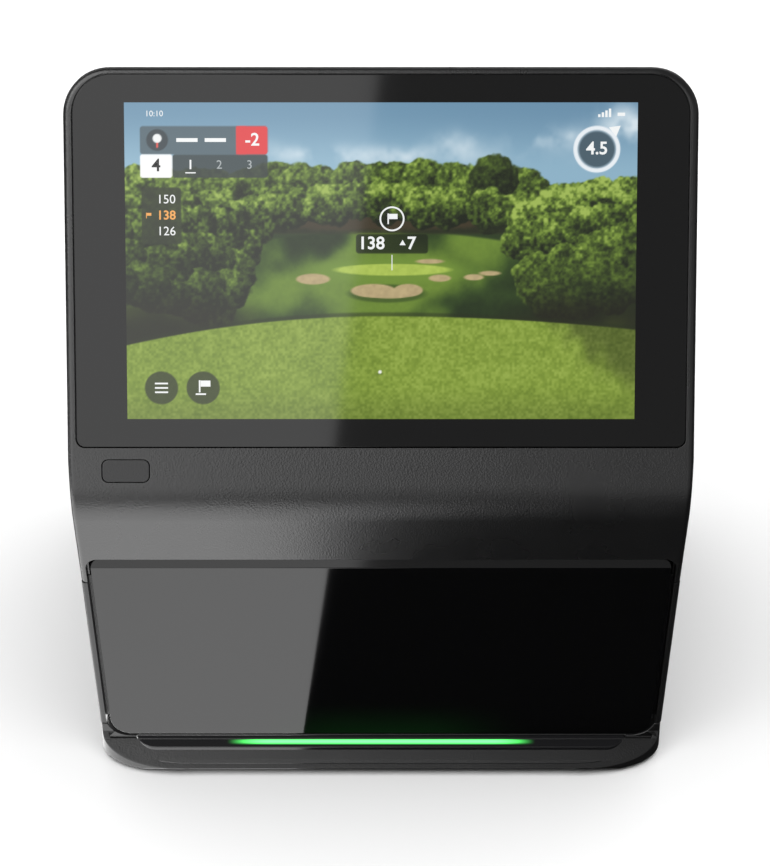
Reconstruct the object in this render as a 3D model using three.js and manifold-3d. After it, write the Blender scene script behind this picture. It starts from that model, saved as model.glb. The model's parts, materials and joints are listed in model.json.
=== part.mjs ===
// Portable camera launch monitor for golf: a free-standing unit with a touch screen on a tilted head,
// a dark camera window below it, a light bar on the base ledge and a carrying handle at the back.
// Millimetres, +Z up, front towards -Y, origin at the bottom centre of the unit's box.
import * as THREE from 'three';
import { mergeVertices } from 'three/addons/utils/BufferGeometryUtils.js';
import Module from 'manifold-3d';

const wasm = await Module();
wasm.setup();

// ---------- Driving dimensions ----------
const GAP = 0.3;                 // clearance kept between neighbouring pieces
const WALL = 3.6;                // moulded shell thickness
const HALF_WIDTH = 134.4;        // head, half of the overall width
const FRONT_Y = -90;
const BACK_Y = 90;

// Display plane: local x along X, y up the screen, z towards the viewer
const SCREEN_TILT = 57.6;        // degrees from the floor to the screen
const SCREEN_Y = -12.5;
const SCREEN_Z = 237.5;
const HEAD_TOP = 82.4;           // up the screen from its centre
const HEAD_CORNER = 20;

// Side outline of the body
const CREASE = [-69.2, 148.2];   // where the chin turns down into the shoulder
const CREASE_RADIUS = 32;
const SEAM_Z = 102;              // joint between upper housing and window frame
const BASE_SEAM_Z = 17;          // joint between window frame and base
const HOUSING_BOTTOM = 14;
const STRIP_BOTTOM_Y = -73.95;   // front of the window frame at its foot
const BACK_BEND = [BACK_Y, 190]; // rear wall turns into the rear slope
const BACK_TOP = [41, 301.2];
const SPLIT_Y = -45.2;           // front and rear housings part here, below the head
const SPLIT_Z = 144;
const TAPER_TOP_Z = 150;         // the sides run in below this height
const HALF_WIDTH_FOOT = 126.5;

// Screen
const GLASS = { halfWidth: 130.3, top: 79.6, bottom: -80, thickness: 2, topRadius: 16.5, footRadius: 3.5 };
const GLASS_POCKET_DEPTH = 2.5;
const PANEL = { width: 228, height: 147, thickness: 5.2 };
const BRACKET = { width: 245, height: 150, thickness: 1.6 };

// Power button, in the display plane
const BUTTON = { x: -109.5, y: -90.5, width: 20.1, height: 9.6, radius: 2.6, travel: 0.8 };

// Camera window: local y up the window, z towards the viewer
const WINDOW_TILT = 87;
const WINDOW_Y = -73.4;
const WINDOW_Z = 9.6;
const WINDOW = {
  halfTop: 127.1, halfFoot: 121.7, foot: 0.3, top: 103.6, thickness: 3, topRadius: 3.5, footRadius: 9,
};
const WINDOW_BEVEL = 3.2;        // height of the slanted strip along its top edge
const WINDOW_BEVEL_ANGLE = 35;
const WINDOW_GAP = 1.9;
const WINDOW_POCKET_DEPTH = 4.4;
const WINDOW_POCKET_TOP = 106.4;

// Base
const BASE_BOTTOM = 2;
const BASE_FLOOR = 5;
const RIM_FRONT_Z = 4.4;
const RIM_WIDTH = 2.6;
const BASE_CORNER = { x: 40, y: 20, power: 2.3 };

// Carrying handle, in the plane of the rear slope: local y up the slope, z into the body
const HANDLE_Y = 65.76;
const HANDLE_Z = 245;
const HANDLE_TILT = 113.8;
const HANDLE_POCKET = { halfWidth: 62, halfHeight: 25, depth: 30, radius: 10 };
const HANDLE_BAR = { low: -3, high: 15, near: 1, far: 12.6, radius: 5.2 };

// Port bay in the rear wall
const BAY = { left: -110, right: -50, low: 40.2, high: 79.6, floorY: 66, wall: 2 };
const PORT_Z = 57;
const COVER_PIN = { y: 87.1, z: 76.2, radius: 1.2 };

const REAR_SCREW = { x: 112, z: 30, tip: 79, neck: 85.5, head: 89.2, radius: 1.5, headRadius: 2.1 };

// Fan and vent
const FAN = { x: 60, z: 150, size: 60, frontY: 70, depth: 13 };
const VENT_SIZE = 64;

// Front levelling feet
const SIDES = [['left', -1], ['right', 1]];
const REAR_FOOT = { x: 104, y: 70 };
const BASE_SCREWS = [
  ['front_left', -60, -40], ['front_right', 60, -40], ['rear_left', -60, 81], ['rear_right', 60, 81]];
const LEVELER = { x: 98, y: -28, padRadius: 12, wheelRadius: 15, stemRadius: 3.7, boreRadius: 4 };

const material = (color, roughness, metalness = 0) =>
  new THREE.MeshStandardMaterial({ color, roughness, metalness });
const shellBlack = material(0x3a3a3c, 0.5);
const frameBlack = material(0x2e2e30, 0.55);
const gloss = material(0x0a0a0c, 0.08);
const smokedLens = material(0x55585a, 0.25);
const rubber = material(0x1c1c1e, 0.9);
const steel = material(0x9a9da0, 0.35, 0.9);
const aluminium = material(0xb8bcc0, 0.4, 0.8);
const brass = material(0xc09a4a, 0.35, 0.9);
const boardGreen = material(0x1f5a3a, 0.6);
const plasticDark = material(0x18181a, 0.6);
const batteryBlue = material(0x2c4c7a, 0.55);

const model = new THREE.Group();

// ---------- Solids ----------
function solid(geometry, matrix) {
  const shape = geometry.clone();
  if (matrix) {
    shape.applyMatrix4(matrix);
  }
  shape.deleteAttribute('normal');
  shape.deleteAttribute('uv');
  const merged = mergeVertices(shape);
  const vertProperties = new Float32Array(merged.attributes.position.array);
  const triVerts = new Uint32Array(merged.index.array);
  return new wasm.Manifold(new wasm.Mesh({ numProp: 3, vertProperties, triVerts }));
}

function addPiece(name, shape, look) {
  const mesh = shape.getMesh();
  const geometry = new THREE.BufferGeometry();
  geometry.setAttribute('position', new THREE.BufferAttribute(new Float32Array(mesh.vertProperties), 3));
  geometry.setIndex(new THREE.BufferAttribute(new Uint32Array(mesh.triVerts), 1));
  geometry.computeVertexNormals();
  const piece = new THREE.Mesh(geometry, look);
  piece.name = name;
  model.add(piece);
}

function joined(solids) {
  return solids.reduce((sum, next) => sum.add(next));
}

// A plane through (0, y, z), turned about X: local x along X, y up the plane, z out of it
function plane(tiltDegrees, y, z) {
  const turn = new THREE.Matrix4().makeRotationX(THREE.MathUtils.degToRad(tiltDegrees));
  return new THREE.Matrix4().makeTranslation(0, y, z).multiply(turn);
}

const screenPlane = plane(SCREEN_TILT, SCREEN_Y, SCREEN_Z);
const windowPlane = plane(WINDOW_TILT, WINDOW_Y, WINDOW_Z);
const handlePlane = plane(HANDLE_TILT, HANDLE_Y, HANDLE_Z);
const frontPlane = plane(90, 0, 0);
const floorPlane = new THREE.Matrix4();

// Corners are [x, y] or [x, y, radius]; rounded ones become arcs
function outline(corners, steps = 6) {
  const points = [];
  corners.forEach(([x, y, radius = 0], i) => {
    const here = new THREE.Vector2(x, y);
    if (radius === 0) {
      points.push(here);
      return;
    }
    const before = corners.at(i - 1);
    const after = corners[(i + 1) % corners.length];
    const back = new THREE.Vector2(before[0], before[1]).sub(here).normalize();
    const on = new THREE.Vector2(after[0], after[1]).sub(here).normalize();
    const half = Math.acos(THREE.MathUtils.clamp(back.dot(on), -1, 1)) / 2;
    const centre = back.clone().add(on).normalize().multiplyScalar(radius / Math.sin(half)).add(here);
    const start = back.multiplyScalar(radius / Math.tan(half)).add(here).sub(centre);
    const end = on.multiplyScalar(radius / Math.tan(half)).add(here).sub(centre);
    const first = Math.atan2(start.y, start.x);
    let sweep = Math.atan2(end.y, end.x) - first;
    sweep -= Math.round(sweep / (2 * Math.PI)) * 2 * Math.PI;
    for (let k = 0; k <= steps; k++) {
      const angle = first + sweep * k / steps;
      const spoke = new THREE.Vector2(Math.cos(angle), Math.sin(angle));
      points.push(spoke.multiplyScalar(radius).add(centre));
    }
  });
  return points;
}

function rectangle(x0, x1, y0, y1, radius = 0) {
  return [[x0, y0, radius], [x1, y0, radius], [x1, y1, radius], [x0, y1, radius]];
}

// An outline pushed from one depth to another, along the plane's normal
function slab(points, near, far, matrix = floorPlane) {
  const options = { depth: far - near, bevelEnabled: false };
  const geometry = new THREE.ExtrudeGeometry(new THREE.Shape(points), options);
  geometry.translate(0, 0, near);
  return solid(geometry, matrix);
}

// A side outline of [y, z] points pushed along X
function acrossX(points, x0, x1) {
  const options = { depth: x1 - x0, bevelEnabled: false };
  const geometry = new THREE.ExtrudeGeometry(new THREE.Shape(points), options);
  const sideways = new THREE.Matrix4().makeBasis(
    new THREE.Vector3(0, 1, 0), new THREE.Vector3(0, 0, 1), new THREE.Vector3(1, 0, 0));
  return solid(geometry, new THREE.Matrix4().makeTranslation(x0, 0, 0).multiply(sideways));
}

function block(x0, x1, y0, y1, z0, z1, matrix) {
  const geometry = new THREE.BoxGeometry(x1 - x0, y1 - y0, z1 - z0);
  geometry.translate((x0 + x1) / 2, (y0 + y1) / 2, (z0 + z1) / 2);
  return solid(geometry, matrix);
}

// Round solid about a vertical axis: profile of [radius, z] from the axis out and back to it
function turned(profile, x, y, sides = 20, matrix = floorPlane) {
  const points = profile.map(([r, z]) => new THREE.Vector2(r, z));
  const geometry = new THREE.LatheGeometry(points, sides);
  geometry.rotateX(Math.PI / 2);
  geometry.translate(x, y, 0);
  return solid(geometry, matrix);
}

// The same, with its axis along Y: profile of [radius, y]
function turnedAlongY(profile, x, z, sides = 20) {
  const points = profile.map(([r, y]) => new THREE.Vector2(r, y));
  const geometry = new THREE.LatheGeometry(points, sides);
  geometry.translate(x, 0, z);
  return solid(geometry);
}

function rodAlongX(radius, x0, x1, y, z, sides = 16) {
  const geometry = new THREE.CylinderGeometry(radius, radius, x1 - x0, sides);
  geometry.rotateZ(-Math.PI / 2);
  geometry.translate((x0 + x1) / 2, y, z);
  return solid(geometry);
}

function rodAlongY(radius, x, y0, y1, z, sides = 16) {
  return turnedAlongY([[0, y0], [radius, y0], [radius, y1], [0, y1]], x, z, sides);
}

// An outline of [x, z] points pushed along Y
function acrossY(points, y0, y1) {
  return slab(points, -y1, -y0, frontPlane);
}

// Moves each side of an outline inwards by the same distance
function inset(corners, distance) {
  const lines = corners.map(([x, y], i) => {
    const [nextX, nextY] = corners[(i + 1) % corners.length];
    const along = new THREE.Vector2(nextX - x, nextY - y).normalize();
    const inward = new THREE.Vector2(-along.y, along.x);
    return { point: new THREE.Vector2(x, y).addScaledVector(inward, distance), along };
  });
  return corners.map(([, , radius = 0], i) => {
    const a = lines.at(i - 1);
    const b = lines[i];
    const between = b.point.clone().sub(a.point);
    const reach = between.cross(b.along) / a.along.cross(b.along);
    const meet = a.point.clone().addScaledVector(a.along, reach);
    return [meet.x, meet.y, Math.max(radius - distance, 0)];
  });
}

// ---------- Outer body and the space inside it ----------
function onScreen(up, out) {
  const point = new THREE.Vector3(0, up, out).applyMatrix4(screenPlane);
  return [point.y, point.z];
}

function bodyEnvelope(wall) {
  const side = [
    [...onScreen(HEAD_TOP, 0), 2.5], [...CREASE, CREASE_RADIUS], [CREASE[0], SEAM_Z],
    [STRIP_BOTTOM_Y, HOUSING_BOTTOM], [BACK_Y, HOUSING_BOTTOM], [...BACK_BEND, 26], [...BACK_TOP, 9],
  ];
  const front = [
    [-HALF_WIDTH, 330], [-HALF_WIDTH, TAPER_TOP_Z], [-HALF_WIDTH_FOOT, HOUSING_BOTTOM],
    [HALF_WIDTH_FOOT, HOUSING_BOTTOM], [HALF_WIDTH, TAPER_TOP_Z], [HALF_WIDTH, 330],
  ];
  const head = [
    [-HALF_WIDTH, -400], [HALF_WIDTH, -400],
    [HALF_WIDTH, HEAD_TOP, HEAD_CORNER], [-HALF_WIDTH, HEAD_TOP, HEAD_CORNER],
  ];
  return acrossX(outline(inset(side, wall)), -150, 150)
    .intersect(slab(outline(inset(front, wall)), -150, 150, frontPlane))
    .intersect(slab(outline(inset(head, wall)), -300, 50, screenPlane));
}

const body = bodyEnvelope(0);
const cavity = bodyEnvelope(WALL);
const cavityBelow = block(-122, 122, -50, BACK_Y - WALL - 0.5, HOUSING_BOTTOM - 5, HOUSING_BOTTOM + 10);

// ---------- Camera window outlines, used by every piece around it ----------
function windowOutline(grow, foot, top, topRadius, footRadius) {
  const slope = (WINDOW.halfTop - WINDOW.halfFoot) / (WINDOW.top - WINDOW.foot);
  const halfAt = (height) => WINDOW.halfFoot + slope * (height - WINDOW.foot) + grow;
  return outline([
    [-halfAt(foot), foot, footRadius], [halfAt(foot), foot, footRadius],
    [halfAt(top), top, topRadius], [-halfAt(top), top, topRadius],
  ]);
}

const windowPocket = slab(
  windowOutline(WINDOW_GAP, 0, WINDOW_POCKET_TOP, 5.5, 10.5), -WINDOW_POCKET_DEPTH, 30, windowPlane);

// ---------- Front housing: rim, chin, shoulder and arms in one moulding ----------
function glassOutline(grow) {
  return outline([
    [-GLASS.halfWidth - grow, GLASS.bottom - grow, GLASS.footRadius + grow],
    [GLASS.halfWidth + grow, GLASS.bottom - grow, GLASS.footRadius + grow],
    [GLASS.halfWidth + grow, GLASS.top + grow, GLASS.topRadius + grow],
    [-GLASS.halfWidth - grow, GLASS.top + grow, GLASS.topRadius + grow],
  ]);
}

function splitZone(side) {
  const y = SPLIT_Y + side * GAP / 2;
  const slope = (BACK_TOP[0] - SPLIT_Y) / (BACK_TOP[1] - SPLIT_Z);
  const high = 360;
  const reach = y + slope * (high - SPLIT_Z);
  return { y, high, reach };
}

function buttonOutline(grow) {
  return outline(rectangle(
    BUTTON.x - BUTTON.width / 2 - grow, BUTTON.x + BUTTON.width / 2 + grow,
    BUTTON.y - BUTTON.height / 2 - grow, BUTTON.y + BUTTON.height / 2 + grow, BUTTON.radius + grow), 4);
}

function frontHousing() {
  const { y, high, reach } = splitZone(-1);
  const zone = acrossX(
    outline([[y, SEAM_Z], [y, SPLIT_Z], [reach, high], [-150, high], [-150, SEAM_Z]]), -150, 150);
  const panelOpening = block(-PANEL.width / 2 - 3, PANEL.width / 2 + 3,
    -PANEL.height / 2 - 2, PANEL.height / 2 + 2, -30, 5, screenPlane);
  const shell = body.intersect(zone).subtract(cavity)
    .subtract(slab(glassOutline(0.45), -GLASS_POCKET_DEPTH, 10, screenPlane))
    .subtract(panelOpening)
    .subtract(slab(buttonOutline(0.3), -10, 5, screenPlane));
  addPiece('front_housing', shell.subtract(windowPocket), shellBlack);
}

function screenStack() {
  addPiece('cover_glass', slab(glassOutline(0), -0.2 - GLASS.thickness, -0.2, screenPlane), gloss);
  const panelFront = -2.6;
  const panelBack = panelFront - PANEL.thickness;
  addPiece('display_panel', block(-PANEL.width / 2, PANEL.width / 2, -PANEL.height / 2, PANEL.height / 2,
    panelBack, panelFront, screenPlane), material(0x3f6f45, 0.4));
  const bracketFront = panelBack - 0.4;
  const bracketBack = bracketFront - BRACKET.thickness;
  const plate = block(-BRACKET.width / 2, BRACKET.width / 2, -BRACKET.height / 2, BRACKET.height / 2,
    bracketBack, bracketFront, screenPlane);
  const windows = [-62, 62].map((x) => block(x - 40, x + 40, -50, 45, -30, 5, screenPlane));
  const ribs = [-110, -18, 18, 110].map(
    (x) => block(x - 1.2, x + 1.2, -70, 60, bracketBack - 5, bracketBack + 0.5, screenPlane));
  addPiece('display_bracket', joined([plate.subtract(joined(windows)), ...ribs]), steel);
}

// ---------- Power button and the switch behind it ----------
function powerButton() {
  const { x, y } = BUTTON;
  const cap = slab(buttonOutline(0), -4.6, -0.05, screenPlane);
  const flange = block(x - 11.4, x + 11.4, y - 5.9, y + 5.9, -5.2, -4.2, screenPlane);
  addPiece('power_button', cap.add(flange), plasticDark);
  const stem = block(x - 2, x + 2, y - 1.5, y + 1.5, -8, -6.3, screenPlane);
  const housing = block(x - 5, x + 5, y - 4, y + 4, -12, -7.5, screenPlane);
  addPiece('power_switch', housing.add(stem), steel);
}

// ---------- Rear housing: back shell with handle pocket, vent and port bay ----------
function handlePocketOutline(grow) {
  const { halfWidth, halfHeight, radius } = HANDLE_POCKET;
  const sides = [-halfWidth - grow, halfWidth + grow, -halfHeight - grow, halfHeight + grow];
  return outline(rectangle(...sides, radius + grow), 4);
}

function portHoles() {
  return joined([
    block(-104, -88, 50, 80, PORT_Z - 3.6, PORT_Z + 3.6),
    block(-83.2, -72.8, 50, 80, PORT_Z - 2.2, PORT_Z + 2.2),
    block(-66.3, -55.7, 50, 80, PORT_Z - 5.4, PORT_Z + 5.4),
  ]);
}

function rearHousing() {
  const { y, high, reach } = splitZone(1);
  const rearSide = outline([[y, high], [y, HOUSING_BOTTOM], [150, HOUSING_BOTTOM], [150, high]]);
  const headSide = outline([[y - 1, SPLIT_Z], [y, SPLIT_Z], [reach, high], [y - 1, high]]);
  const zone = acrossX(rearSide, -150, 150).subtract(acrossX(headSide, -150, 150));
  const shell = body.intersect(zone).subtract(cavity).subtract(cavityBelow);
  const pocketSkin = slab(handlePocketOutline(WALL), -6, HANDLE_POCKET.depth + WALL, handlePlane)
    .intersect(bodyEnvelope(WALL / 2));
  const pocket = slab(handlePocketOutline(0), -20, HANDLE_POCKET.depth, handlePlane);
  const baySkin = block(
    BAY.left - BAY.wall, BAY.right + BAY.wall, BAY.floorY - BAY.wall, BACK_Y - BAY.wall,
    BAY.low - BAY.wall, BAY.high + BAY.wall);
  const bay = block(BAY.left, BAY.right, BAY.floorY, BACK_Y + 5, BAY.low, BAY.high);
  const ventHalf = VENT_SIZE / 2 + GAP;
  const vent = block(
    FAN.x - ventHalf, FAN.x + ventHalf, BACK_Y - 10, BACK_Y + 5, FAN.z - ventHalf, FAN.z + ventHalf);
  const pinHoles = rodAlongX(
    COVER_PIN.radius + 0.2, BAY.left - 1.6, BAY.right + 1.6, COVER_PIN.y, COVER_PIN.z);
  const screwHoles = [-1, 1].map(
    (s) => rodAlongY(REAR_SCREW.headRadius + GAP, s * REAR_SCREW.x, 78, 110, REAR_SCREW.z));
  const whole = shell.add(pocketSkin).subtract(pocket).add(baySkin).subtract(bay).subtract(vent)
    .subtract(portHoles()).subtract(pinHoles).subtract(joined(screwHoles));
  addPiece('rear_housing', whole, shellBlack);
}

// ---------- Handle: a bar across the pocket, its soft grip and its screws ----------
function handle() {
  const { low, high, near, far, radius } = HANDLE_BAR;
  const end = HANDLE_POCKET.halfWidth - GAP;
  const section = (grow) => outline(
    rectangle(near - grow, far + grow, low - grow, high + grow, radius + grow), 4);
  const along = new THREE.Matrix4().makeBasis(
    new THREE.Vector3(0, 0, 1), new THREE.Vector3(0, 1, 0), new THREE.Vector3(-1, 0, 0));
  const toBar = handlePlane.clone().multiply(along);
  const core = slab(section(-1.8), -end, end, toBar);
  const ends = [-1, 1].map((s) => {
    const [inner, outer] = [s * 46, s * end].sort((a, b) => a - b);
    return slab(section(0), inner, outer, toBar);
  });
  const holes = [-1, 1].map((s) => handleScrewShape(s, GAP));
  addPiece('handle_bar', joined([core, ...ends]).subtract(joined(holes)), frameBlack);
  const sleeve = slab(section(0), -46 + GAP, 46 - GAP, toBar);
  addPiece('handle_grip', sleeve.subtract(slab(section(-1.8 + GAP), -60, 60, toBar)), rubber);
  addPiece('handle_screw_left', handleScrewShape(1, 0), steel);
  addPiece('handle_screw_right', handleScrewShape(-1, 0), steel);
}

// A screw sunk into the outer face of the bar, near one end
function handleScrewShape(side, grow) {
  const middle = (HANDLE_BAR.low + HANDLE_BAR.high) / 2;
  const top = HANDLE_BAR.near + 0.3;
  return turned([[0, top - 2 * grow], [3.4 + grow, top - 2 * grow], [3.4 + grow, top + 2.4 + grow],
    [1.5 + grow, top + 2.4 + grow], [1.5 + grow, top + 9 + grow], [0, top + 9 + grow]],
  side * 54, middle, 12, handlePlane);
}

// ---------- Window frame, seal and the dark window ----------
function windowFrame() {
  const zone = acrossX(outline([
    [SPLIT_Y - GAP / 2, BASE_SEAM_Z + GAP], [SPLIT_Y - GAP / 2, SEAM_Z - GAP],
    [-150, SEAM_Z - GAP], [-150, BASE_SEAM_Z + GAP]]), -150, 150);
  const ring = body.intersect(zone).subtract(windowPocket);
  const opening = slab(windowOutline(-6, 14, 85, 6, 6), -40, 10, windowPlane);
  const behind = slab(windowOutline(1.5, 10, 89, 4, 4), -60, -WINDOW_POCKET_DEPTH - 2.6, windowPlane);
  const flange = slab(
    windowOutline(-1, 90, 110, 6, 0), -WINDOW_POCKET_DEPTH - 2.2, -WINDOW_POCKET_DEPTH - GAP, windowPlane);
  addPiece('window_frame', ring.subtract(opening).subtract(behind).add(flange), frameBlack);
  const seal = slab(windowOutline(-1.5, 9.5, 90, 4, 7), -4.2, -3.2, windowPlane)
    .subtract(slab(windowOutline(-5, 13, 86.5, 4, 5), -10, 5, windowPlane));
  addPiece('window_gasket', seal, rubber);
}

function cameraWindow() {
  const plate = slab(windowOutline(0, WINDOW.foot, WINDOW.top, WINDOW.topRadius, WINDOW.footRadius),
    -WINDOW.thickness, 0, windowPlane);
  const bevel = new THREE.Matrix4().makeTranslation(0, WINDOW.top - WINDOW_BEVEL, 0)
    .multiply(new THREE.Matrix4().makeRotationX(THREE.MathUtils.degToRad(-WINDOW_BEVEL_ANGLE)));
  const wedge = block(-140, 140, 0, 20, 0, 20, windowPlane.clone().multiply(bevel));
  addPiece('camera_window', plate.subtract(wedge), gloss);
}

// ---------- Base: floor pan with the dished front ramp, the ledge and the rim ----------
function basePlan(shrink) {
  const half = HALF_WIDTH_FOOT - shrink;
  const { x: reachX, y: reachY, power } = BASE_CORNER;
  const corner = (side, k, steps) => {
    const angle = Math.PI / 2 * k / steps;
    const along = Math.pow(Math.cos(angle), 2 / power);
    const ahead = Math.pow(Math.sin(angle), 2 / power);
    return new THREE.Vector2(side * (half - reachX + reachX * along),
      FRONT_Y + reachY - (reachY - shrink) * ahead);
  };
  const steps = 8;
  const points = outline([
    [half, FRONT_Y + reachY], [half, BACK_Y - shrink, 4 - shrink],
    [-half, BACK_Y - shrink, 4 - shrink], [-half, FRONT_Y + reachY]], 5);
  for (let k = 1; k <= steps; k++) {
    points.push(corner(-1, k, steps));
  }
  for (let k = steps; k > 0; k--) {
    points.push(corner(1, k, steps));
  }
  return points;
}

function lensOutline(grow) {
  const back = -74.6 + grow;
  const front = -81.5 - grow;
  const half = 110.6 + grow;
  const behind = [[half, back, 0.5], [-half, back, 0.5]];
  const before = [[-half + 2.5, front, 6.2], [half - 2.5, front, 6.2]];
  return outline([...behind, ...before], 5);
}

function baseTray() {
  const side = outline([
    [-87.5, BASE_BOTTOM], [FRONT_Y, RIM_FRONT_Z], [-76.2, 9.8], [-74.2, 12.5], [STRIP_BOTTOM_Y, BASE_SEAM_Z],
    [SPLIT_Y - GAP, BASE_SEAM_Z], [SPLIT_Y - GAP, HOUSING_BOTTOM - GAP],
    [BACK_Y, HOUSING_BOTTOM - GAP], [BACK_Y, 4], [BACK_Y - 2, BASE_BOTTOM]]);
  const pan = slab(basePlan(0), 0, 30).intersect(acrossX(side, -150, 150));
  const hollow = block(-122.5, 122.5, -66, BACK_Y - WALL, BASE_FLOOR, 40);
  const dishSide = outline([[-100, 4.9], [-87.4, 4.9], [-81.9, 9], [-74.3, 9.1], [-74.3, 40], [-100, 40]]);
  const dish = slab(basePlan(RIM_WIDTH), -10, 40).intersect(acrossX(dishSide, -150, 150));
  const lensPocket = slab(lensOutline(GAP), 7.2, 40);
  const boardSlot = block(-76, 76, -80.6, -75.4, 5.2, 8);
  const cupSide = [[0, BASE_BOTTOM], [19, BASE_BOTTOM], [19, 13], [9, 13], [9, 24], [0, 24]];
  const cups = joined(SIDES.map(([, s]) => turned(cupSide, s * LEVELER.x, LEVELER.y, 24)));
  const wheelSide = [[0, -5], [16.5, -5], [16.5, 10.8], [6.8, 10.8], [6.8, 40], [0, 40]];
  const wheelSpace = joined(SIDES.map(([, s]) => turned(wheelSide, s * LEVELER.x, LEVELER.y, 24)));
  const footSide = [[0, -5], [11.3, -5], [11.3, 3], [0, 3]];
  const footPockets = joined(SIDES.map(([, s]) => turned(footSide, s * REAR_FOOT.x, REAR_FOOT.y)));
  const screwHoles = joined(BASE_SCREWS.map(([, x, y]) => baseScrewShape(x, y, GAP)));
  const whole = pan.subtract(hollow).add(cups).subtract(wheelSpace).subtract(dish)
    .subtract(lensPocket).subtract(boardSlot).subtract(windowPocket)
    .subtract(footPockets).subtract(screwHoles);
  addPiece('base_tray', whole, frameBlack);
}

function baseScrewShape(x, y, grow) {
  const bottom = 2.3 - 2 * grow;
  const head = 3 + grow;
  const neck = 4 + grow;
  const shank = 1.4 + grow;
  const tip = 12 + grow;
  return turned([[0, bottom], [head, bottom], [head, neck], [shank, neck], [shank, tip], [0, tip]], x, y, 12);
}

function baseFittings() {
  BASE_SCREWS.forEach(([corner, x, y]) => addPiece(`base_screw_${corner}`, baseScrewShape(x, y, 0), steel));
  const side = [[0, 0], [10.2, 0], [11, 0.8], [11, 2.7], [0, 2.7]];
  SIDES.forEach(([name, s]) => {
    addPiece(`rear_foot_${name}`, turned(side, s * REAR_FOOT.x, REAR_FOOT.y), rubber);
  });
}

function statusLight() {
  addPiece('status_light_lens', slab(lensOutline(0), 7.5, 9.6), smokedLens);
  const strip = block(-75, 75, -80.2, -75.8, 5.5, 6.3);
  const leds = [];
  for (let x = -66; x <= 66; x += 12) {
    leds.push(block(x - 1.5, x + 1.5, -79.4, -76.6, 6.2, 7));
  }
  addPiece('led_board', joined([strip, ...leds]), boardGreen);
}

// ---------- Front levelling feet: brass insert, knurled wheel on a stem, rubber pad ----------
function levelers() {
  const { y, padRadius, wheelRadius, stemRadius, boreRadius } = LEVELER;
  SIDES.forEach(([name, s]) => {
    const x = s * LEVELER.x;
    const sleeve = turned([[0, 11.2], [6.5, 11.2], [6.5, 23.6], [0, 23.6]], x, y);
    const bore = turned([[0, 5], [boreRadius, 5], [boreRadius, 30], [0, 30]], x, y);
    addPiece(`leveler_insert_${name}`, sleeve.subtract(bore), brass);
    const grip = new THREE.Shape(knurl(wheelRadius, 24));
    const rim = new THREE.ExtrudeGeometry(grip, { depth: 5.6, bevelEnabled: false });
    rim.translate(x, y, 4.2);
    const stem = turned([[0, 9], [stemRadius, 9], [stemRadius, 21.4], [2.9, 22.2], [0, 22.2]], x, y);
    addPiece(`leveler_wheel_${name}`, solid(rim).add(stem), plasticDark);
    const pad = turned([[0, 0], [padRadius - 1.5, 0], [padRadius, 1.5], [padRadius, 3.9], [0, 3.9]], x, y);
    addPiece(`leveler_pad_${name}`, pad, rubber);
  });
}

function knurl(radius, teeth) {
  const points = [];
  for (let k = 0; k < teeth * 2; k++) {
    const angle = Math.PI * k / teeth;
    const reach = k % 2 === 0 ? radius : radius - 0.9;
    points.push(new THREE.Vector2(reach * Math.cos(angle), reach * Math.sin(angle)));
  }
  return points;
}

// ---------- Cameras and infrared lamps behind the window ----------
function cameraGroup() {
  const railY = -26;
  const bar = block(-105, 105, railY, railY + 3, 36, 86);
  const cuts = [-75, -25, 25, 75].map((x) => block(x - 14, x + 14, railY - 5, railY + 10, 48, 74));
  const feet = [-1, 1].map((s) => block(s * 96 - 9, s * 96 + 9, railY - 12, railY + 3, 33, 36.5));
  addPiece('camera_rail', joined([bar.subtract(joined(cuts)), ...feet]), aluminium);
  [['left', -50], ['center', 0], ['right', 50]].forEach(([name, x]) => {
    const box = slab(outline(rectangle(x - 14, x + 14, 48, 76, 2), 3), 0, 20, plane(90, -46.4 + 20, 0));
    const neck = turnedAlongY([[0, -50], [11, -50], [11, -46], [0, -46]], x, 62);
    addPiece(`camera_${name}`, box.add(neck), plasticDark);
    const front = [[0, -58.2], [6.5, -59.6], [8.5, -60.2], [9.5, -60], [9.5, -54]];
    const back = [[10.4, -53.4], [10.4, -50.3], [0, -50.3]];
    addPiece(`camera_lens_${name}`, turnedAlongY([...front, ...back], x, 62, 16), gloss);
  });
  [['left', -90], ['right', 90]].forEach(([name, x]) => {
    const plate = block(x - 12, x + 12, railY - 3.3, railY - GAP, 38, 84);
    const lamp = [[0, -34], [2.2, -33], [4, -31], [4, -28.8], [0, -28.8]];
    const heads = [46, 61, 76].map((z) => turnedAlongY(lamp, x, z, 12));
    addPiece(`ir_lamp_${name}`, joined([plate, ...heads]), boardGreen);
  });
}

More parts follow.
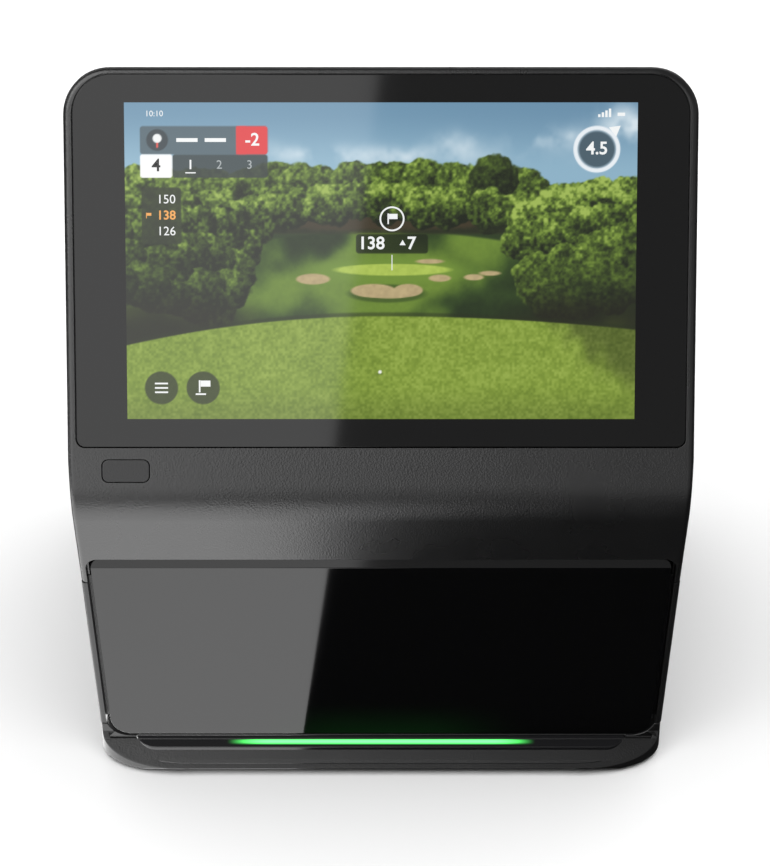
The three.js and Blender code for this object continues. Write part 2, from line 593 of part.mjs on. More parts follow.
// ---------- Chassis, boards, cooling and battery ----------
function innerParts() {
  const plate = block(-104, 104, -2, 0, 60, 212);
  const cuts = [[-60, 130], [60, 130]].map(([x, z]) => block(x - 26, x + 26, -5, 5, z - 24, z + 24));
  const flange = block(-104, 104, -2, 10, 58.5, 60.5);
  addPiece('inner_frame', plate.subtract(joined(cuts)).add(flange), aluminium);
  const board = block(-98, 26, 6, 7.6, 82, 196);
  const chipPlaces = [[-80, 100], [-30, 96], [0, 180]];
  const chips = chipPlaces.map(([x, z]) => block(x - 8, x + 8, 7.4, 9.2, z - 8, z + 8));
  const spacerPlaces = [[-92, 88], [20, 88], [-92, 190], [20, 190]];
  const spacers = spacerPlaces.map(([x, z]) => rodAlongY(2.5, x, GAP, 6.2, z, 10));
  addPiece('main_board', joined([board, ...chips, ...spacers]), boardGreen);
  const shield = slab(outline(rectangle(-64, -24, 118, 158, 2), 3), -10.2, -7.9, frontPlane);
  addPiece('processor_shield', shield, steel);
  const base = block(-74, -14, 10.5, 14, 112, 164);
  const fins = [];
  for (let x = -73; x <= -15; x += 6.4) {
    fins.push(block(x, x + 1.6, 13.5, 30, 112, 164));
  }
  addPiece('heat_sink', joined([base, ...fins]), aluminium);
  const antennaPost = block(88, 92, GAP, 6.2, 200, 204);
  addPiece('wifi_antenna', block(70, 110, 6, 6.8, 196, 208).add(antennaPost), boardGreen);
}

function battery() {
  addPiece('battery_pack', slab(outline(rectangle(-75, 75, 10, 76, 5), 3), 5.4, 32), batteryBlue);
  const strap = outline([[4, 5.4], [9, 5.4], [9, 33], [77, 33], [77, 5.4], [82, 5.4], [82, 6.8], [78.4, 6.8],
    [78.4, 34.4], [7.6, 34.4], [7.6, 6.8], [4, 6.8]]);
  addPiece('battery_bracket', acrossX(strap, -12, 12), steel);
}

function displayRibbon() {
  const strip = outline([
    onScreen(-30, -9.9), onScreen(-34, -18), [-6, 190], [-6, 184], [-5.6, 184], [-5.6, 190.2],
    onScreen(-33.4, -18.3), onScreen(-29.4, -9.9)]);
  addPiece('display_ribbon', acrossX(strip, -14, 14), material(0x8a5a2a, 0.5));
}

function fan() {
  const half = FAN.size / 2;
  const back = FAN.frontY + FAN.depth;
  const box = slab(outline(rectangle(FAN.x - half, FAN.x + half, FAN.z - half, FAN.z + half, 4), 3),
    -back, -FAN.frontY, frontPlane);
  const duct = rodAlongY(28, FAN.x, FAN.frontY - 5, back + 5, FAN.z, 40);
  const motor = rodAlongY(11, FAN.x, FAN.frontY, FAN.frontY + 2, FAN.z);
  const struts = [0, 120, 240].map((angle) => {
    const arm = new THREE.BoxGeometry(4, 2, 30);
    arm.translate(0, FAN.frontY + 1, 15);
    arm.rotateY(THREE.MathUtils.degToRad(angle));
    arm.translate(FAN.x, 0, FAN.z);
    return solid(arm);
  });
  addPiece('fan_frame', joined([box.subtract(duct), motor, ...struts]), plasticDark);
  const hub = rodAlongY(10.5, FAN.x, FAN.frontY + 2.4, back - 0.6, FAN.z);
  const blades = [];
  for (let k = 0; k < 7; k++) {
    const blade = new THREE.BoxGeometry(1.4, 8.6, 17.4);
    blade.rotateZ(THREE.MathUtils.degToRad(38));
    blade.translate(0, FAN.frontY + 7.6, 18.4);
    blade.rotateY(2 * Math.PI * k / 7);
    blade.translate(FAN.x, 0, FAN.z);
    blades.push(solid(blade));
  }
  addPiece('fan_rotor', joined([hub, ...blades]), plasticDark);
}

function ventGrille() {
  const half = VENT_SIZE / 2;
  const plate = block(FAN.x - half, FAN.x + half, BACK_Y - 3, BACK_Y - 0.3, FAN.z - half, FAN.z + half);
  const slots = [];
  for (let z = FAN.z - 26; z <= FAN.z + 26; z += 6.5) {
    slots.push(block(FAN.x - 28, FAN.x - 1.5, BACK_Y - 10, BACK_Y + 5, z - 1.6, z + 1.6));
    slots.push(block(FAN.x + 1.5, FAN.x + 28, BACK_Y - 10, BACK_Y + 5, z - 1.6, z + 1.6));
  }
  addPiece('vent_grille', plate.subtract(joined(slots)), frameBlack);
}

// ---------- Ports, their board and the hinged cover ----------
function ports() {
  const face = 70;
  const board = 55.9;
  addPiece('port_board', block(-108, -52, board - 1.9, board - GAP, 44, 72), boardGreen);
  const hdmiBody = acrossY(outline([[-103.7, PORT_Z - 1.6], [-101.6, PORT_Z - 3.3], [-90.4, PORT_Z - 3.3],
    [-88.3, PORT_Z - 1.6], [-88.3, PORT_Z + 3.3], [-103.7, PORT_Z + 3.3]]), board, face);
  const hdmiHollow = acrossY(outline([[-103.1, PORT_Z - 1.3], [-101.3, PORT_Z - 2.7], [-90.7, PORT_Z - 2.7],
    [-88.9, PORT_Z - 1.3], [-88.9, PORT_Z + 2.7], [-103.1, PORT_Z + 2.7]]), face - 9, face + 5);
  const hdmiTongue = block(-101, -91, face - 9.5, face - 1.2, PORT_Z + 0.2, PORT_Z + 1.4);
  addPiece('hdmi_port', hdmiBody.subtract(hdmiHollow).add(hdmiTongue), steel);
  const pill = (half, tall) => outline(
    rectangle(-78 - half, -78 + half, PORT_Z - tall, PORT_Z + tall, tall - 0.05), 5);
  const usbHollow = acrossY(pill(4.3, 1.45), face - 7, face + 5);
  const usbTongue = block(-81.3, -74.7, face - 7.5, face - 1, PORT_Z - 0.35, PORT_Z + 0.35);
  addPiece('usb_c_port', acrossY(pill(4.75, 1.85), board, face).subtract(usbHollow).add(usbTongue), steel);
  const jackBody = block(-66, -56, board, face, PORT_Z - 5, PORT_Z + 5);
  const jackHollow = rodAlongY(3.2, -61, face - 9.5, face + 5, PORT_Z, 24);
  const jackPin = rodAlongY(1, -61, face - 10, face - 0.8, PORT_Z, 12);
  addPiece('dc_power_jack', jackBody.subtract(jackHollow).add(jackPin), plasticDark);
}

function portCover() {
  const { y, z, radius } = COVER_PIN;
  const left = BAY.left + 0.4;
  const right = BAY.right - 0.4;
  const door = acrossY(outline(rectangle(left, right, BAY.low + 0.4, z, 0)), y + 0.1, y + 2.6);
  const barrel = rodAlongX(2.6, left, right, y, z, 20);
  const bore = rodAlongX(radius + 0.15, left - 5, right + 5, y, z);
  const lip = block(-88, -72, y - 1.6, y + 0.3, BAY.low + 2.4, BAY.low + 4);
  addPiece('port_cover', joined([door, barrel, lip]).subtract(bore), rubber);
  addPiece('port_cover_pin', rodAlongX(radius, BAY.left - 1.2, BAY.right + 1.2, y, z), steel);
}

function rearScrews() {
  SIDES.forEach(([name, s]) => {
    const { x, z, tip, neck, head, radius, headRadius } = REAR_SCREW;
    const shank = [[0, tip], [radius, tip], [radius, neck]];
    const profile = [...shank, [headRadius, neck], [headRadius, head], [0, head]];
    addPiece(`rear_screw_${name}`, turnedAlongY(profile, s * x, z, 12), steel);
  });
}

frontHousing();
screenStack();
powerButton();
rearHousing();
handle();
windowFrame();
cameraWindow();
baseTray();
baseFittings();
statusLight();
levelers();
cameraGroup();
innerParts();
battery();
displayRibbon();
fan();
ventGrille();
ports();
portCover();
rearScrews();

export default model;
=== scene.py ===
import json
import math

import bmesh
import bpy
import numpy as np
from mathutils import Matrix, Vector


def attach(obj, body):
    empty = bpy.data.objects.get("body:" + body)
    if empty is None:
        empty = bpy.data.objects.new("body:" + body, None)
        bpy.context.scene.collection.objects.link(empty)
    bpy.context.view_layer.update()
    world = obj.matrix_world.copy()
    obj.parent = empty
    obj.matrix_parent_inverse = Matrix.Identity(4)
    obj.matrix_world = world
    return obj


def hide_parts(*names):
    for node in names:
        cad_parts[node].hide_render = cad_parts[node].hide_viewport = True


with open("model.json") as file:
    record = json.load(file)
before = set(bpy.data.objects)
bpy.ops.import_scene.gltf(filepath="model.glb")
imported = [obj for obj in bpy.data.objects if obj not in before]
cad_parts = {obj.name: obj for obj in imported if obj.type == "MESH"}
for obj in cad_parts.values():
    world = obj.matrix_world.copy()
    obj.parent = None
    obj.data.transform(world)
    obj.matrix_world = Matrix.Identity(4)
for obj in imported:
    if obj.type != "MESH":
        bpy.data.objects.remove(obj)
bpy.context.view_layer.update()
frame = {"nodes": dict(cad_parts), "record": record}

# ---- Floor, light and camera ---------------------------------------------------------------
# A pale floor under a broad ceiling light, with the camera above and in front of the unit.
# Plain cards round it give the glossy faces something bright or dark to mirror.


def set_down():
    if bpy.context.mode != "OBJECT":
        bpy.ops.object.mode_set(mode="OBJECT")
    bpy.ops.object.select_all(action="DESELECT")


def pick(piece):
    set_down()
    piece.select_set(True)
    bpy.context.view_layer.objects.active = piece


def mirror_card(name, corners, strength):
    """A lit card that only mirror-like reflections see."""
    material = bpy.data.materials.new(name)
    material.use_nodes = True
    nodes = material.node_tree.nodes
    nodes.clear()
    emission = nodes.new("ShaderNodeEmission")
    emission.inputs["Strength"].default_value = strength
    output = nodes.new("ShaderNodeOutputMaterial")
    material.node_tree.links.new(emission.outputs[0], output.inputs[0])
    mesh = bpy.data.meshes.new(name)
    mesh.from_pydata(corners, [], [range(len(corners))])
    mesh.materials.append(material)
    card = bpy.data.objects.new(name, mesh)
    bpy.context.scene.collection.objects.link(card)
    card.visible_camera = False
    card.visible_diffuse = False
    card.visible_shadow = False
    card.visible_transmission = False


def soft_light(name, place, aim, size, watts, mirrored=True):
    light = bpy.data.lights.new(name, "AREA")
    light.shape = "RECTANGLE"
    light.size, light.size_y = size
    light.energy = watts
    lamp = bpy.data.objects.new(name, light)
    lamp.location = place
    lamp.visible_glossy = mirrored
    lamp.visible_camera = False
    lamp.rotation_mode = "QUATERNION"
    lamp.rotation_quaternion = (Vector(aim) - Vector(place)).to_track_quat("-Z", "Y")
    bpy.context.scene.collection.objects.link(lamp)


scene = bpy.context.scene
scene.view_settings.view_transform = "Standard"
world = bpy.data.worlds.new("studio")
scene.world = world
world.use_nodes = True
backdrop = world.node_tree.nodes["Background"]
backdrop.inputs["Color"].default_value = (1, 1, 1, 1)
pale_behind = world.node_tree.nodes.new("ShaderNodeMapRange")
pale_behind.inputs["To Min"].default_value = 0.12
world.node_tree.links.new(world.node_tree.nodes.new("ShaderNodeLightPath").outputs["Is Camera Ray"],
                          pale_behind.inputs["Value"])
world.node_tree.links.new(pale_behind.outputs[0], backdrop.inputs["Strength"])

set_down()
bpy.ops.mesh.primitive_plane_add(size=12, location=(0, 0, 0))
floor = bpy.context.object
floor.name = "floor"
floor.visible_glossy = False
floor_paint = bpy.data.materials.new("floor_paint")
floor_paint.use_nodes = True
floor_shader = floor_paint.node_tree.nodes["Principled BSDF"]
floor_shader.inputs["Base Color"].default_value = (0.80, 0.80, 0.80, 1)
floor_shader.inputs["Roughness"].default_value = 0.9
floor_shader.inputs["Specular IOR Level"].default_value = 0.0
floor.data.materials.append(floor_paint)

soft_light("ceiling", (0.06, 0.5, 2.0), (0.06, 0.5, 0), (4, 4), 128, mirrored=False)
soft_light("left_softbox", (-1.5, -0.9, 1.2), (0, 0, 0.12), (0.8, 1.2), 5)

# What the screen mirrors: a bright card, ahead on the left, its edge a little aslant, and a dim one
SCREEN_CARD_Y = -1.38
mirror_card("screen_card", [(-3.0, SCREEN_CARD_Y, 0.10), (-0.100, SCREEN_CARD_Y, 0.10),
                            (0.030, SCREEN_CARD_Y, 1.35), (-3.0, SCREEN_CARD_Y, 1.35)], 1.75)
mirror_card("dim_card", [(-3, SCREEN_CARD_Y - 0.05, 0.10), (3, SCREEN_CARD_Y - 0.05, 0.10),
                         (3, SCREEN_CARD_Y - 0.05, 1.35), (-3, SCREEN_CARD_Y - 0.05, 1.35)], 0.34)
# What the window mirrors: a bright card below the floor line on the left, black beside it
mirror_card("window_card", [(-1.2, -0.9, -0.02), (0.030, -0.9, -0.02),
                            (-0.0435, -0.02, -0.02), (-1.2, -0.02, -0.02)], 2.8)
mirror_card("dark_card", [(-3, -3, -0.04), (3, -3, -0.04), (3, 3, -0.04), (-3, 3, -0.04)], 0.02)
# What the satin faces catch from above: a bright card over the left side only
mirror_card("upper_card", [(-2.5, -1.9, 1.7), (-0.1, -1.9, 1.7), (-0.1, 0.2, 1.7), (-2.5, 0.2, 1.7)], 2.6)
# What the back and the sides catch: dim cards all round
mirror_card("rear_card", [(-2.5, 2.5, 0.2), (2.5, 2.5, 0.2), (2.5, 2.5, 1.8), (-2.5, 2.5, 1.8)], 0.7)
mirror_card("right_card", [(2.6, -0.5, 0.2), (2.6, 2.4, 0.2), (2.6, 2.4, 1.4), (2.6, -0.5, 1.4)], 0.3)
mirror_card("left_card", [(-2.6, -0.5, 0.2), (-2.6, 2.4, 0.2), (-2.6, 2.4, 1.4), (-2.6, -0.5, 1.4)], 0.5)

camera_data = bpy.data.cameras.new("camera")
camera_data.sensor_width = 36
camera_data.lens = 160.46
camera_data.shift_x = 0.0047
camera = bpy.data.objects.new("camera", camera_data)
camera.location = (0, -1.2703, 1.2930)
camera.rotation_euler = (math.radians(90 - 42.54), 0, 0)
camera_data.clip_start, camera_data.clip_end = 0.05, 50
scene.collection.objects.link(camera)
scene.camera = camera

# ---- Front housing ---------------------------------------------------------------------------
# One satin black moulding with a fine grain: the rim round the screen, the chin, the rolled
# crease and the shoulder. It is moulded as a shell, with pockets for the glass and the window.

# The tilted screen: x across, u up the screen, w out of it, from the middle of the picture
SCREEN_CENTRE = Vector((0, -0.0125, 0.2375))
SCREEN_LEAN = math.radians(32.4)
SCREEN_UP = Vector((0, math.sin(SCREEN_LEAN), math.cos(SCREEN_LEAN)))
SCREEN_OUT = Vector((0, -math.cos(SCREEN_LEAN), math.sin(SCREEN_LEAN)))
HALF_WIDTH, HALF_WIDTH_FOOT = 0.1344, 0.1265
TAPER_TOP, HOUSING_FOOT = 0.163, 0.014
HEAD_TOP, HEAD_CORNER = 0.0824, 0.020
CREASE = Vector((0, -0.0692, 0.1482))
CREASE_ROLL = 0.0093
SEAM_Z = 0.102
SPLIT_FOOT = Vector((0, -0.0452, 0.144))
BACK_TOP = Vector((0, 0.041, 0.3012))
BACK_BEND = Vector((0, 0.090, 0.190))
BACK_ROLL, BACK_EDGE = 0.0055, 0.0065
WALL = 0.0036
GAP = 0.00015
SPLIT_BACK = Vector((0, BACK_TOP.z - SPLIT_FOOT.z, SPLIT_FOOT.y - BACK_TOP.y)).normalized()
SLOPE_OUT = Vector((0, BACK_TOP.z - BACK_BEND.z, BACK_BEND.y - BACK_TOP.y)).normalized()
TAPER_OUT = Vector((TAPER_TOP - HOUSING_FOOT, 0, HALF_WIDTH_FOOT - HALF_WIDTH)).normalized()


def on_screen(x, u, w=0.0):
    return SCREEN_CENTRE + Vector((x, 0, 0)) + SCREEN_UP * u + SCREEN_OUT * w


def block(name, low, high):
    """A box between two corners, its place in its mesh."""
    set_down()
    low, high = Vector(low), Vector(high)
    bpy.ops.mesh.primitive_cube_add(size=1, location=(low + high) / 2, scale=high - low)
    piece = bpy.context.object
    piece.name = name
    bpy.ops.object.transform_apply(location=True, rotation=True, scale=True)
    return piece


def slice_off(piece, point, out):
    """Cuts away what lies beyond a plane and closes the cut."""
    pick(piece)
    bpy.ops.object.mode_set(mode="EDIT")
    bpy.ops.mesh.select_all(action="SELECT")
    bpy.ops.mesh.bisect(plane_co=point, plane_no=out, use_fill=True, clear_outer=True, threshold=1e-6)
    bpy.ops.object.mode_set(mode="OBJECT")


def round_edges(piece, chosen, radius, steps=8, profile=0.5):
    """Rounds the edges that chosen(edge) picks."""
    pick(piece)
    bpy.ops.object.mode_set(mode="EDIT")
    bpy.ops.mesh.select_mode(type="EDGE")
    bpy.ops.mesh.select_all(action="DESELECT")
    work = bmesh.from_edit_mesh(piece.data)
    work.normal_update()
    for edge in work.edges:
        edge.select = bool(chosen(edge))
    bmesh.update_edit_mesh(piece.data)
    bpy.ops.mesh.bevel(offset=radius, segments=steps, profile=profile, affect="EDGES")
    bpy.ops.object.mode_set(mode="OBJECT")


def carve(piece, *cutters, how="DIFFERENCE"):
    for cutter in cutters:
        pick(piece)
        modifier = piece.modifiers.new("carve", "BOOLEAN")
        modifier.operation = how
        modifier.solver = "EXACT"
        modifier.object = cutter
        bpy.ops.object.modifier_apply(modifier=modifier.name)
        bpy.data.objects.remove(cutter)


def gather(name, pieces):
    """Joins pieces that don't touch into one cutter."""
    set_down()
    for piece in pieces:
        piece.select_set(True)
    bpy.context.view_layer.objects.active = pieces[0]
    bpy.ops.object.join()
    pieces[0].name = name
    return pieces[0]


def weld(piece, *others):
    carve(piece, *others, how="UNION")


def smooth(piece, angle=35):
    """Smooth shading that keeps the flat faces flat."""
    pick(piece)
    bpy.ops.object.shade_smooth_by_angle(angle=math.radians(angle))
    modifier = piece.modifiers.new("weigh", "WEIGHTED_NORMAL")
    modifier.mode = "FACE_AREA"
    modifier.keep_sharp = True
    bpy.ops.object.modifier_apply(modifier=modifier.name)


def soften(piece, width, steps=2, angle=32):
    """Rounds every sharp edge a little and smooths the shading."""
    pick(piece)
    bpy.ops.object.mode_set(mode="EDIT")
    bpy.ops.mesh.select_all(action="SELECT")
    bpy.ops.mesh.remove_doubles(threshold=0.00002)
    bpy.ops.mesh.dissolve_limited(angle_limit=math.radians(0.4))
    bpy.ops.object.mode_set(mode="OBJECT")
    modifier = piece.modifiers.new("soften", "BEVEL")
    modifier.width = width
    modifier.segments = steps
    modifier.limit_method = "ANGLE"
    modifier.angle_limit = math.radians(angle)
    modifier.use_clamp_overlap = False
    bpy.ops.object.modifier_apply(modifier=modifier.name)
    smooth(piece)


def lay(piece, plane):
    """Turns a piece made flat at the origin into its place and applies it."""
    piece.matrix_world = plane
    pick(piece)
    bpy.ops.object.transform_apply(location=True, rotation=True, scale=True)


def tilted(degrees, y, z):
    return Matrix.Translation((0, y, z)) @ Matrix.Rotation(math.radians(degrees), 4, "X")


SCREEN_PLANE = tilted(57.6, SCREEN_CENTRE.y, SCREEN_CENTRE.z)
WINDOW_PLANE = tilted(87, -0.0734, 0.0096)


def direction(edge):
    return (edge.verts[1].co - edge.verts[0].co).normalized()


def plate(name, half, foot, top, near, far, top_radius, foot_radius, plane, half_top=None, steps=8):
    """A flat plate in a plane, with rounded corners and, where half_top is given, slanted sides."""
    half_top = half if half_top is None else half_top
    wide = max(half, half_top)
    piece = block(name, (-wide, foot, near), (wide, top, far))
    if half_top != half:
        for side in (-1, 1):
            slice_off(piece, (side * half, foot, 0), (side * (top - foot), half - half_top, 0))
    middle = (foot + top) / 2
    if top_radius:
        round_edges(piece, lambda e: abs(direction(e).z) > 0.99 and e.verts[0].co.y > middle,
                    top_radius, steps)
    if foot_radius:
        round_edges(piece, lambda e: abs(direction(e).z) > 0.99 and e.verts[0].co.y < middle,
                    foot_radius, steps)
    lay(piece, plane)
    return piece


def runs_across(edge, point):
    a, b = edge.verts[0].co, edge.verts[1].co
    return abs(direction(edge).x) > 0.999 and max((v - point).yz.length for v in (a, b)) < 0.003


def faces_way(edge, way, least):
    """True where one face beside the edge looks that way and the other neither that way nor down."""
    looks = [face.normal.dot(way) > least for face in edge.link_faces]
    down = any(face.normal.z < -0.9 for face in edge.link_faces)
    return any(looks) and not all(looks) and not down


def envelope(name, wall, low):
    """The outside of both housings together, or that shape one wall further in."""
    half = HALF_WIDTH - wall
    piece = block(name, (-half, CREASE.y + wall, low), (half, BACK_BEND.y - wall, 0.33))
    slice_off(piece, on_screen(0, 0, -wall), SCREEN_OUT)
    slice_off(piece, on_screen(0, HEAD_TOP - wall), SCREEN_UP)
    slice_off(piece, BACK_BEND - SLOPE_OUT * wall, SLOPE_OUT)
    for side in (-1, 1):
        out = Vector((side * TAPER_OUT.x, 0, TAPER_OUT.z))
        slice_off(piece, Vector((side * HALF_WIDTH, 0, TAPER_TOP)) - out * wall, out)
    crease = CREASE + Vector((0, wall, -wall * math.tan(SCREEN_LEAN / 2)))
    bend = BACK_BEND - Vector((0, wall, 0.21 * wall))
    round_edges(piece, lambda e: runs_across(e, crease), CREASE_ROLL, 12)
    round_edges(piece, lambda e: runs_across(e, bend), BACK_ROLL, 8)
    round_edges(piece, lambda e: abs(direction(e).dot(SCREEN_OUT)) > 0.99 and abs(e.verts[0].co.x) > 0.12,
                HEAD_CORNER - wall, 14)
    front_way, rear_way = Vector((0, -0.96, 0.28)), Vector((0, 0.979, 0.206))
    round_edges(piece, lambda e: faces_way(e, rear_way, 0.95), BACK_EDGE - wall, 6)
    round_edges(piece, lambda e: faces_way(e, front_way, 0.93), 0.0025 - wall / 3, 5)
    return piece


def behind_split(name, shift):
    """The space behind the line where the front and rear housings part."""
    piece = block(name, (-0.2, SPLIT_FOOT.y + shift, -0.05), (0.2, 0.3, 0.4))
    slice_off(piece, SPLIT_FOOT + Vector((0, shift, 0)), -SPLIT_BACK)
    return piece


def window_plate(name, grow, foot, top, near, far, top_radius, foot_radius):
    """A plate in the window's plane whose sides run with the window's."""
    def half(height):
        return 0.1217 + 0.05227 * (height - 0.0003) + grow
    return plate(name, half(foot), foot, top, near, far, top_radius, foot_radius, WINDOW_PLANE, half(top))


def window_pocket(name):
    return window_plate(name, 0.0019, 0.0, 0.1064, -0.0044, 0.03, 0.0055, 0.0105)


def key_plate(name, grow, near, far):
    corner = 0.0026 + grow
    return plate(name, 0.01005 + grow, -0.0048 - grow, 0.0048 + grow, near, far, corner, corner,
                 SCREEN_PLANE @ Matrix.Translation((-0.1095, -0.0905, 0)))


def wire(tree, source, target):
    tree.links.new(source, target)


def add_noise(tree, place, scale, detail=4.0):
    node = tree.nodes.new("ShaderNodeTexNoise")
    node.inputs["Scale"].default_value = scale
    node.inputs["Detail"].default_value = detail
    wire(tree, place, node.inputs["Vector"])
    return node.outputs["Fac"]


def add_range(tree, source, low, high):
    node = tree.nodes.new("ShaderNodeMapRange")
    node.inputs["To Min"].default_value = low
    node.inputs["To Max"].default_value = high
    wire(tree, source, node.inputs["Value"])
    return node.outputs[0]


def finish_material(name, color, roughness, metallic=0.0, drift=0.12, grain=0.0, depth=0.0, uneven=0.05):
    """A finish whose colour drifts, whose gloss is uneven and whose surface has a fine grain."""
    material = bpy.data.materials.new(name)
    material.use_nodes = True
    tree = material.node_tree
    shader = tree.nodes["Principled BSDF"]
    shader.inputs["Metallic"].default_value = metallic
    place = tree.nodes.new("ShaderNodeTexCoord").outputs["Object"]
    tone = tree.nodes.new("ShaderNodeVectorMath")
    tone.operation = "SCALE"
    tone.inputs[0].default_value = color
    wire(tree, add_range(tree, add_noise(tree, place, 60, 6), 1 - drift, 1 + drift), tone.inputs["Scale"])
    wire(tree, tone.outputs[0], shader.inputs["Base Color"])
    wire(tree, add_range(tree, add_noise(tree, place, 30), roughness - uneven, roughness + uneven),
         shader.inputs["Roughness"])
    if grain:
        cells = tree.nodes.new("ShaderNodeTexVoronoi")
        cells.inputs["Scale"].default_value = 1 / grain
        wire(tree, place, cells.inputs["Vector"])
        bump = tree.nodes.new("ShaderNodeBump")
        bump.inputs["Distance"].default_value = depth
        wire(tree, cells.outputs["Distance"], bump.inputs["Height"])
        wire(tree, bump.outputs["Normal"], shader.inputs["Normal"])
    return material


def dress(piece, material, replaced=(), body="root"):
    piece.data.materials.clear()
    piece.data.materials.append(material)
    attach(piece, body)
    if replaced:
        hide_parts(*replaced)


housing_plastic = finish_material("housing_plastic", (0.006, 0.006, 0.0062), 0.28,
                                  grain=0.0008, depth=0.00005)
housing_plastic.node_tree.nodes["Principled BSDF"].inputs["Specular IOR Level"].default_value = 0.75

front = envelope("front_shell", 0, SEAM_Z)
carve(front, behind_split("behind_front", -GAP), envelope("front_hollow", WALL, SEAM_Z - 0.01))
carve(front,
      plate("glass_pocket", 0.13075, -0.08045, 0.08005, -0.0025, 0.01, 0.01695, 0.00395, SCREEN_PLANE,
            steps=14),
      plate("panel_opening", 0.117, -0.0755, 0.0755, -0.03, 0.005, 0.003, 0.003, SCREEN_PLANE),
      key_plate("key_hole", 0.0003, -0.012, 0.005), window_pocket("window_pocket_front"))
soften(front, 0.0002)
dress(front, housing_plastic, ["front_housing"])

# ---- Power key -----------------------------------------------------------------------------
# A small moulded key, flush with the chin, that presses in against the dome of its switch.
# A flange behind the hole keeps it in.

key = key_plate("power_key", 0, -0.0046, -0.00005)
weld(key, plate("key_flange", 0.0114, -0.0059, 0.0059, -0.0052, -0.0042, 0.0005, 0.0005,
                SCREEN_PLANE @ Matrix.Translation((-0.1095, -0.0905, 0))))
soften(key, 0.0003, 2)
dress(key, finish_material("key_plastic", (0.018, 0.018, 0.0185), 0.38, grain=0.0008, depth=0.00003),
      ["power_button"], "power_button")

# ---- Rear housing ----------------------------------------------------------------------------
# The back shell in the same plastic, with rounded edges, a deep pocket for the carrying
# handle, an opening for the vent grille and a bay for the ports. Two screws hold its foot.

HANDLE_PLANE = tilted(113.8, 0.06576, 0.245)
BAY_LOW, BAY_HIGH = Vector((-0.110, 0.066, 0.0402)), Vector((-0.050, 0.090, 0.0796))
PORT_Z = 0.057
FAN_X, FAN_Z = 0.060, 0.150
VENT_HALF = 0.032
PIN_Y, PIN_Z = 0.0871, 0.0762


def rod(name, radius, low, high, along, sides=32):
    """A round bar along x, y or z from low to high."""
    low, high = Vector(low), Vector(high)
    turn = {"x": (0, math.pi / 2, 0), "y": (math.pi / 2, 0, 0), "z": (0, 0, 0)}[along]
    set_down()
    bpy.ops.mesh.primitive_cylinder_add(vertices=sides, radius=radius, depth=(high - low).length,
                                        location=(low + high) / 2, rotation=turn)
    piece = bpy.context.object
    piece.name = name
    bpy.ops.object.transform_apply(location=True, rotation=True, scale=True)
    return piece


def upright(name, radius, x, y, low, high, sides=32):
    """A round bar that stands at x, y from low to high."""
    return rod(name, radius, (x, y, low), (x, y, high), "z", sides)


rear = envelope("rear_shell", 0, HOUSING_FOOT)
slice_off(rear, (0, SPLIT_FOOT.y + GAP, 0), (0, -1, 0))
slice_off(rear, SPLIT_FOOT + SPLIT_BACK * GAP, -SPLIT_BACK)
carve(rear, envelope("rear_hollow", WALL, -0.01))
weld(rear, plate("handle_pocket_skin", 0.0656, -0.0286, 0.0286, 0.001, 0.0336, 0.0136, 0.0136, HANDLE_PLANE),
     block("bay_skin", BAY_LOW - Vector((0.002, 0.002, 0.002)), BAY_HIGH + Vector((0.002, -0.002, 0.002))))
carve(rear,
      plate("handle_pocket", 0.062, -0.025, 0.025, -0.02, 0.030, 0.010, 0.010, HANDLE_PLANE),
      block("bay", BAY_LOW, BAY_HIGH + Vector((0, 0.01, 0))),
      block("vent_hole", (FAN_X - VENT_HALF - 0.0003, 0.08, FAN_Z - VENT_HALF - 0.0003),
            (FAN_X + VENT_HALF + 0.0003, 0.1, FAN_Z + VENT_HALF + 0.0003)),
      block("video_hole", (-0.104, 0.05, PORT_Z - 0.0036), (-0.088, 0.08, PORT_Z + 0.0036)),
      block("usb_hole", (-0.0832, 0.05, PORT_Z - 0.0022), (-0.0728, 0.08, PORT_Z + 0.0022)),
      block("power_hole", (-0.0663, 0.05, PORT_Z - 0.0054), (-0.0557, 0.08, PORT_Z + 0.0054)),
      rod("pin_hole", 0.0014, (-0.1116, PIN_Y, PIN_Z), (-0.0484, PIN_Y, PIN_Z), "x"),
      rod("screw_hole_left", 0.0024, (-0.112, 0.078, 0.03), (-0.112, 0.11, 0.03), "y"),
      rod("screw_hole_right", 0.0024, (0.112, 0.078, 0.03), (0.112, 0.11, 0.03), "y"))
soften(rear, 0.0003)
dress(rear, housing_plastic, ["rear_housing"])

# ---- Vent grille -----------------------------------------------------------------------------
# A separate moulded panel over the fan, clipped in flush with the back. Two columns of slots
# with rounded ends let the warm air out.

grille = block("vent_louvre", (FAN_X - VENT_HALF, 0.087, FAN_Z - VENT_HALF),
               (FAN_X + VENT_HALF, 0.0897, FAN_Z + VENT_HALF))
round_edges(grille, lambda e: abs(direction(e).y) > 0.99, 0.0015, 4)
SLOT_PITCH, SLOT_TALL, SLOT_LONG = 0.0065, 0.0032, 0.0265
slots_cut = []
for row in range(-4, 5):
    for side in (-1, 1):
        middle = Vector((FAN_X + side * 0.01475, 0.0885, FAN_Z + row * SLOT_PITCH))
        reach = Vector((SLOT_LONG / 2, 0.01, SLOT_TALL / 2))
        slot = block("slot", middle - reach, middle + reach)
        round_edges(slot, lambda e: abs(direction(e).y) > 0.99, SLOT_TALL * 0.49, 5)
        slots_cut.append(slot)
carve(grille, gather("slots", slots_cut))
soften(grille, 0.0003)
dress(grille, finish_material("grille_plastic", (0.014, 0.014, 0.0145), 0.5, grain=0.0006, depth=0.00003),
      ["vent_grille"])

# ---- Carrying handle -------------------------------------------------------------------------
# A plastic bar across the pocket, fixed by a sunk screw at each end, with a soft ribbed grip
# slid over its middle.

BAR_ENDS = 0.0617
GRIP_HALF = 0.0457


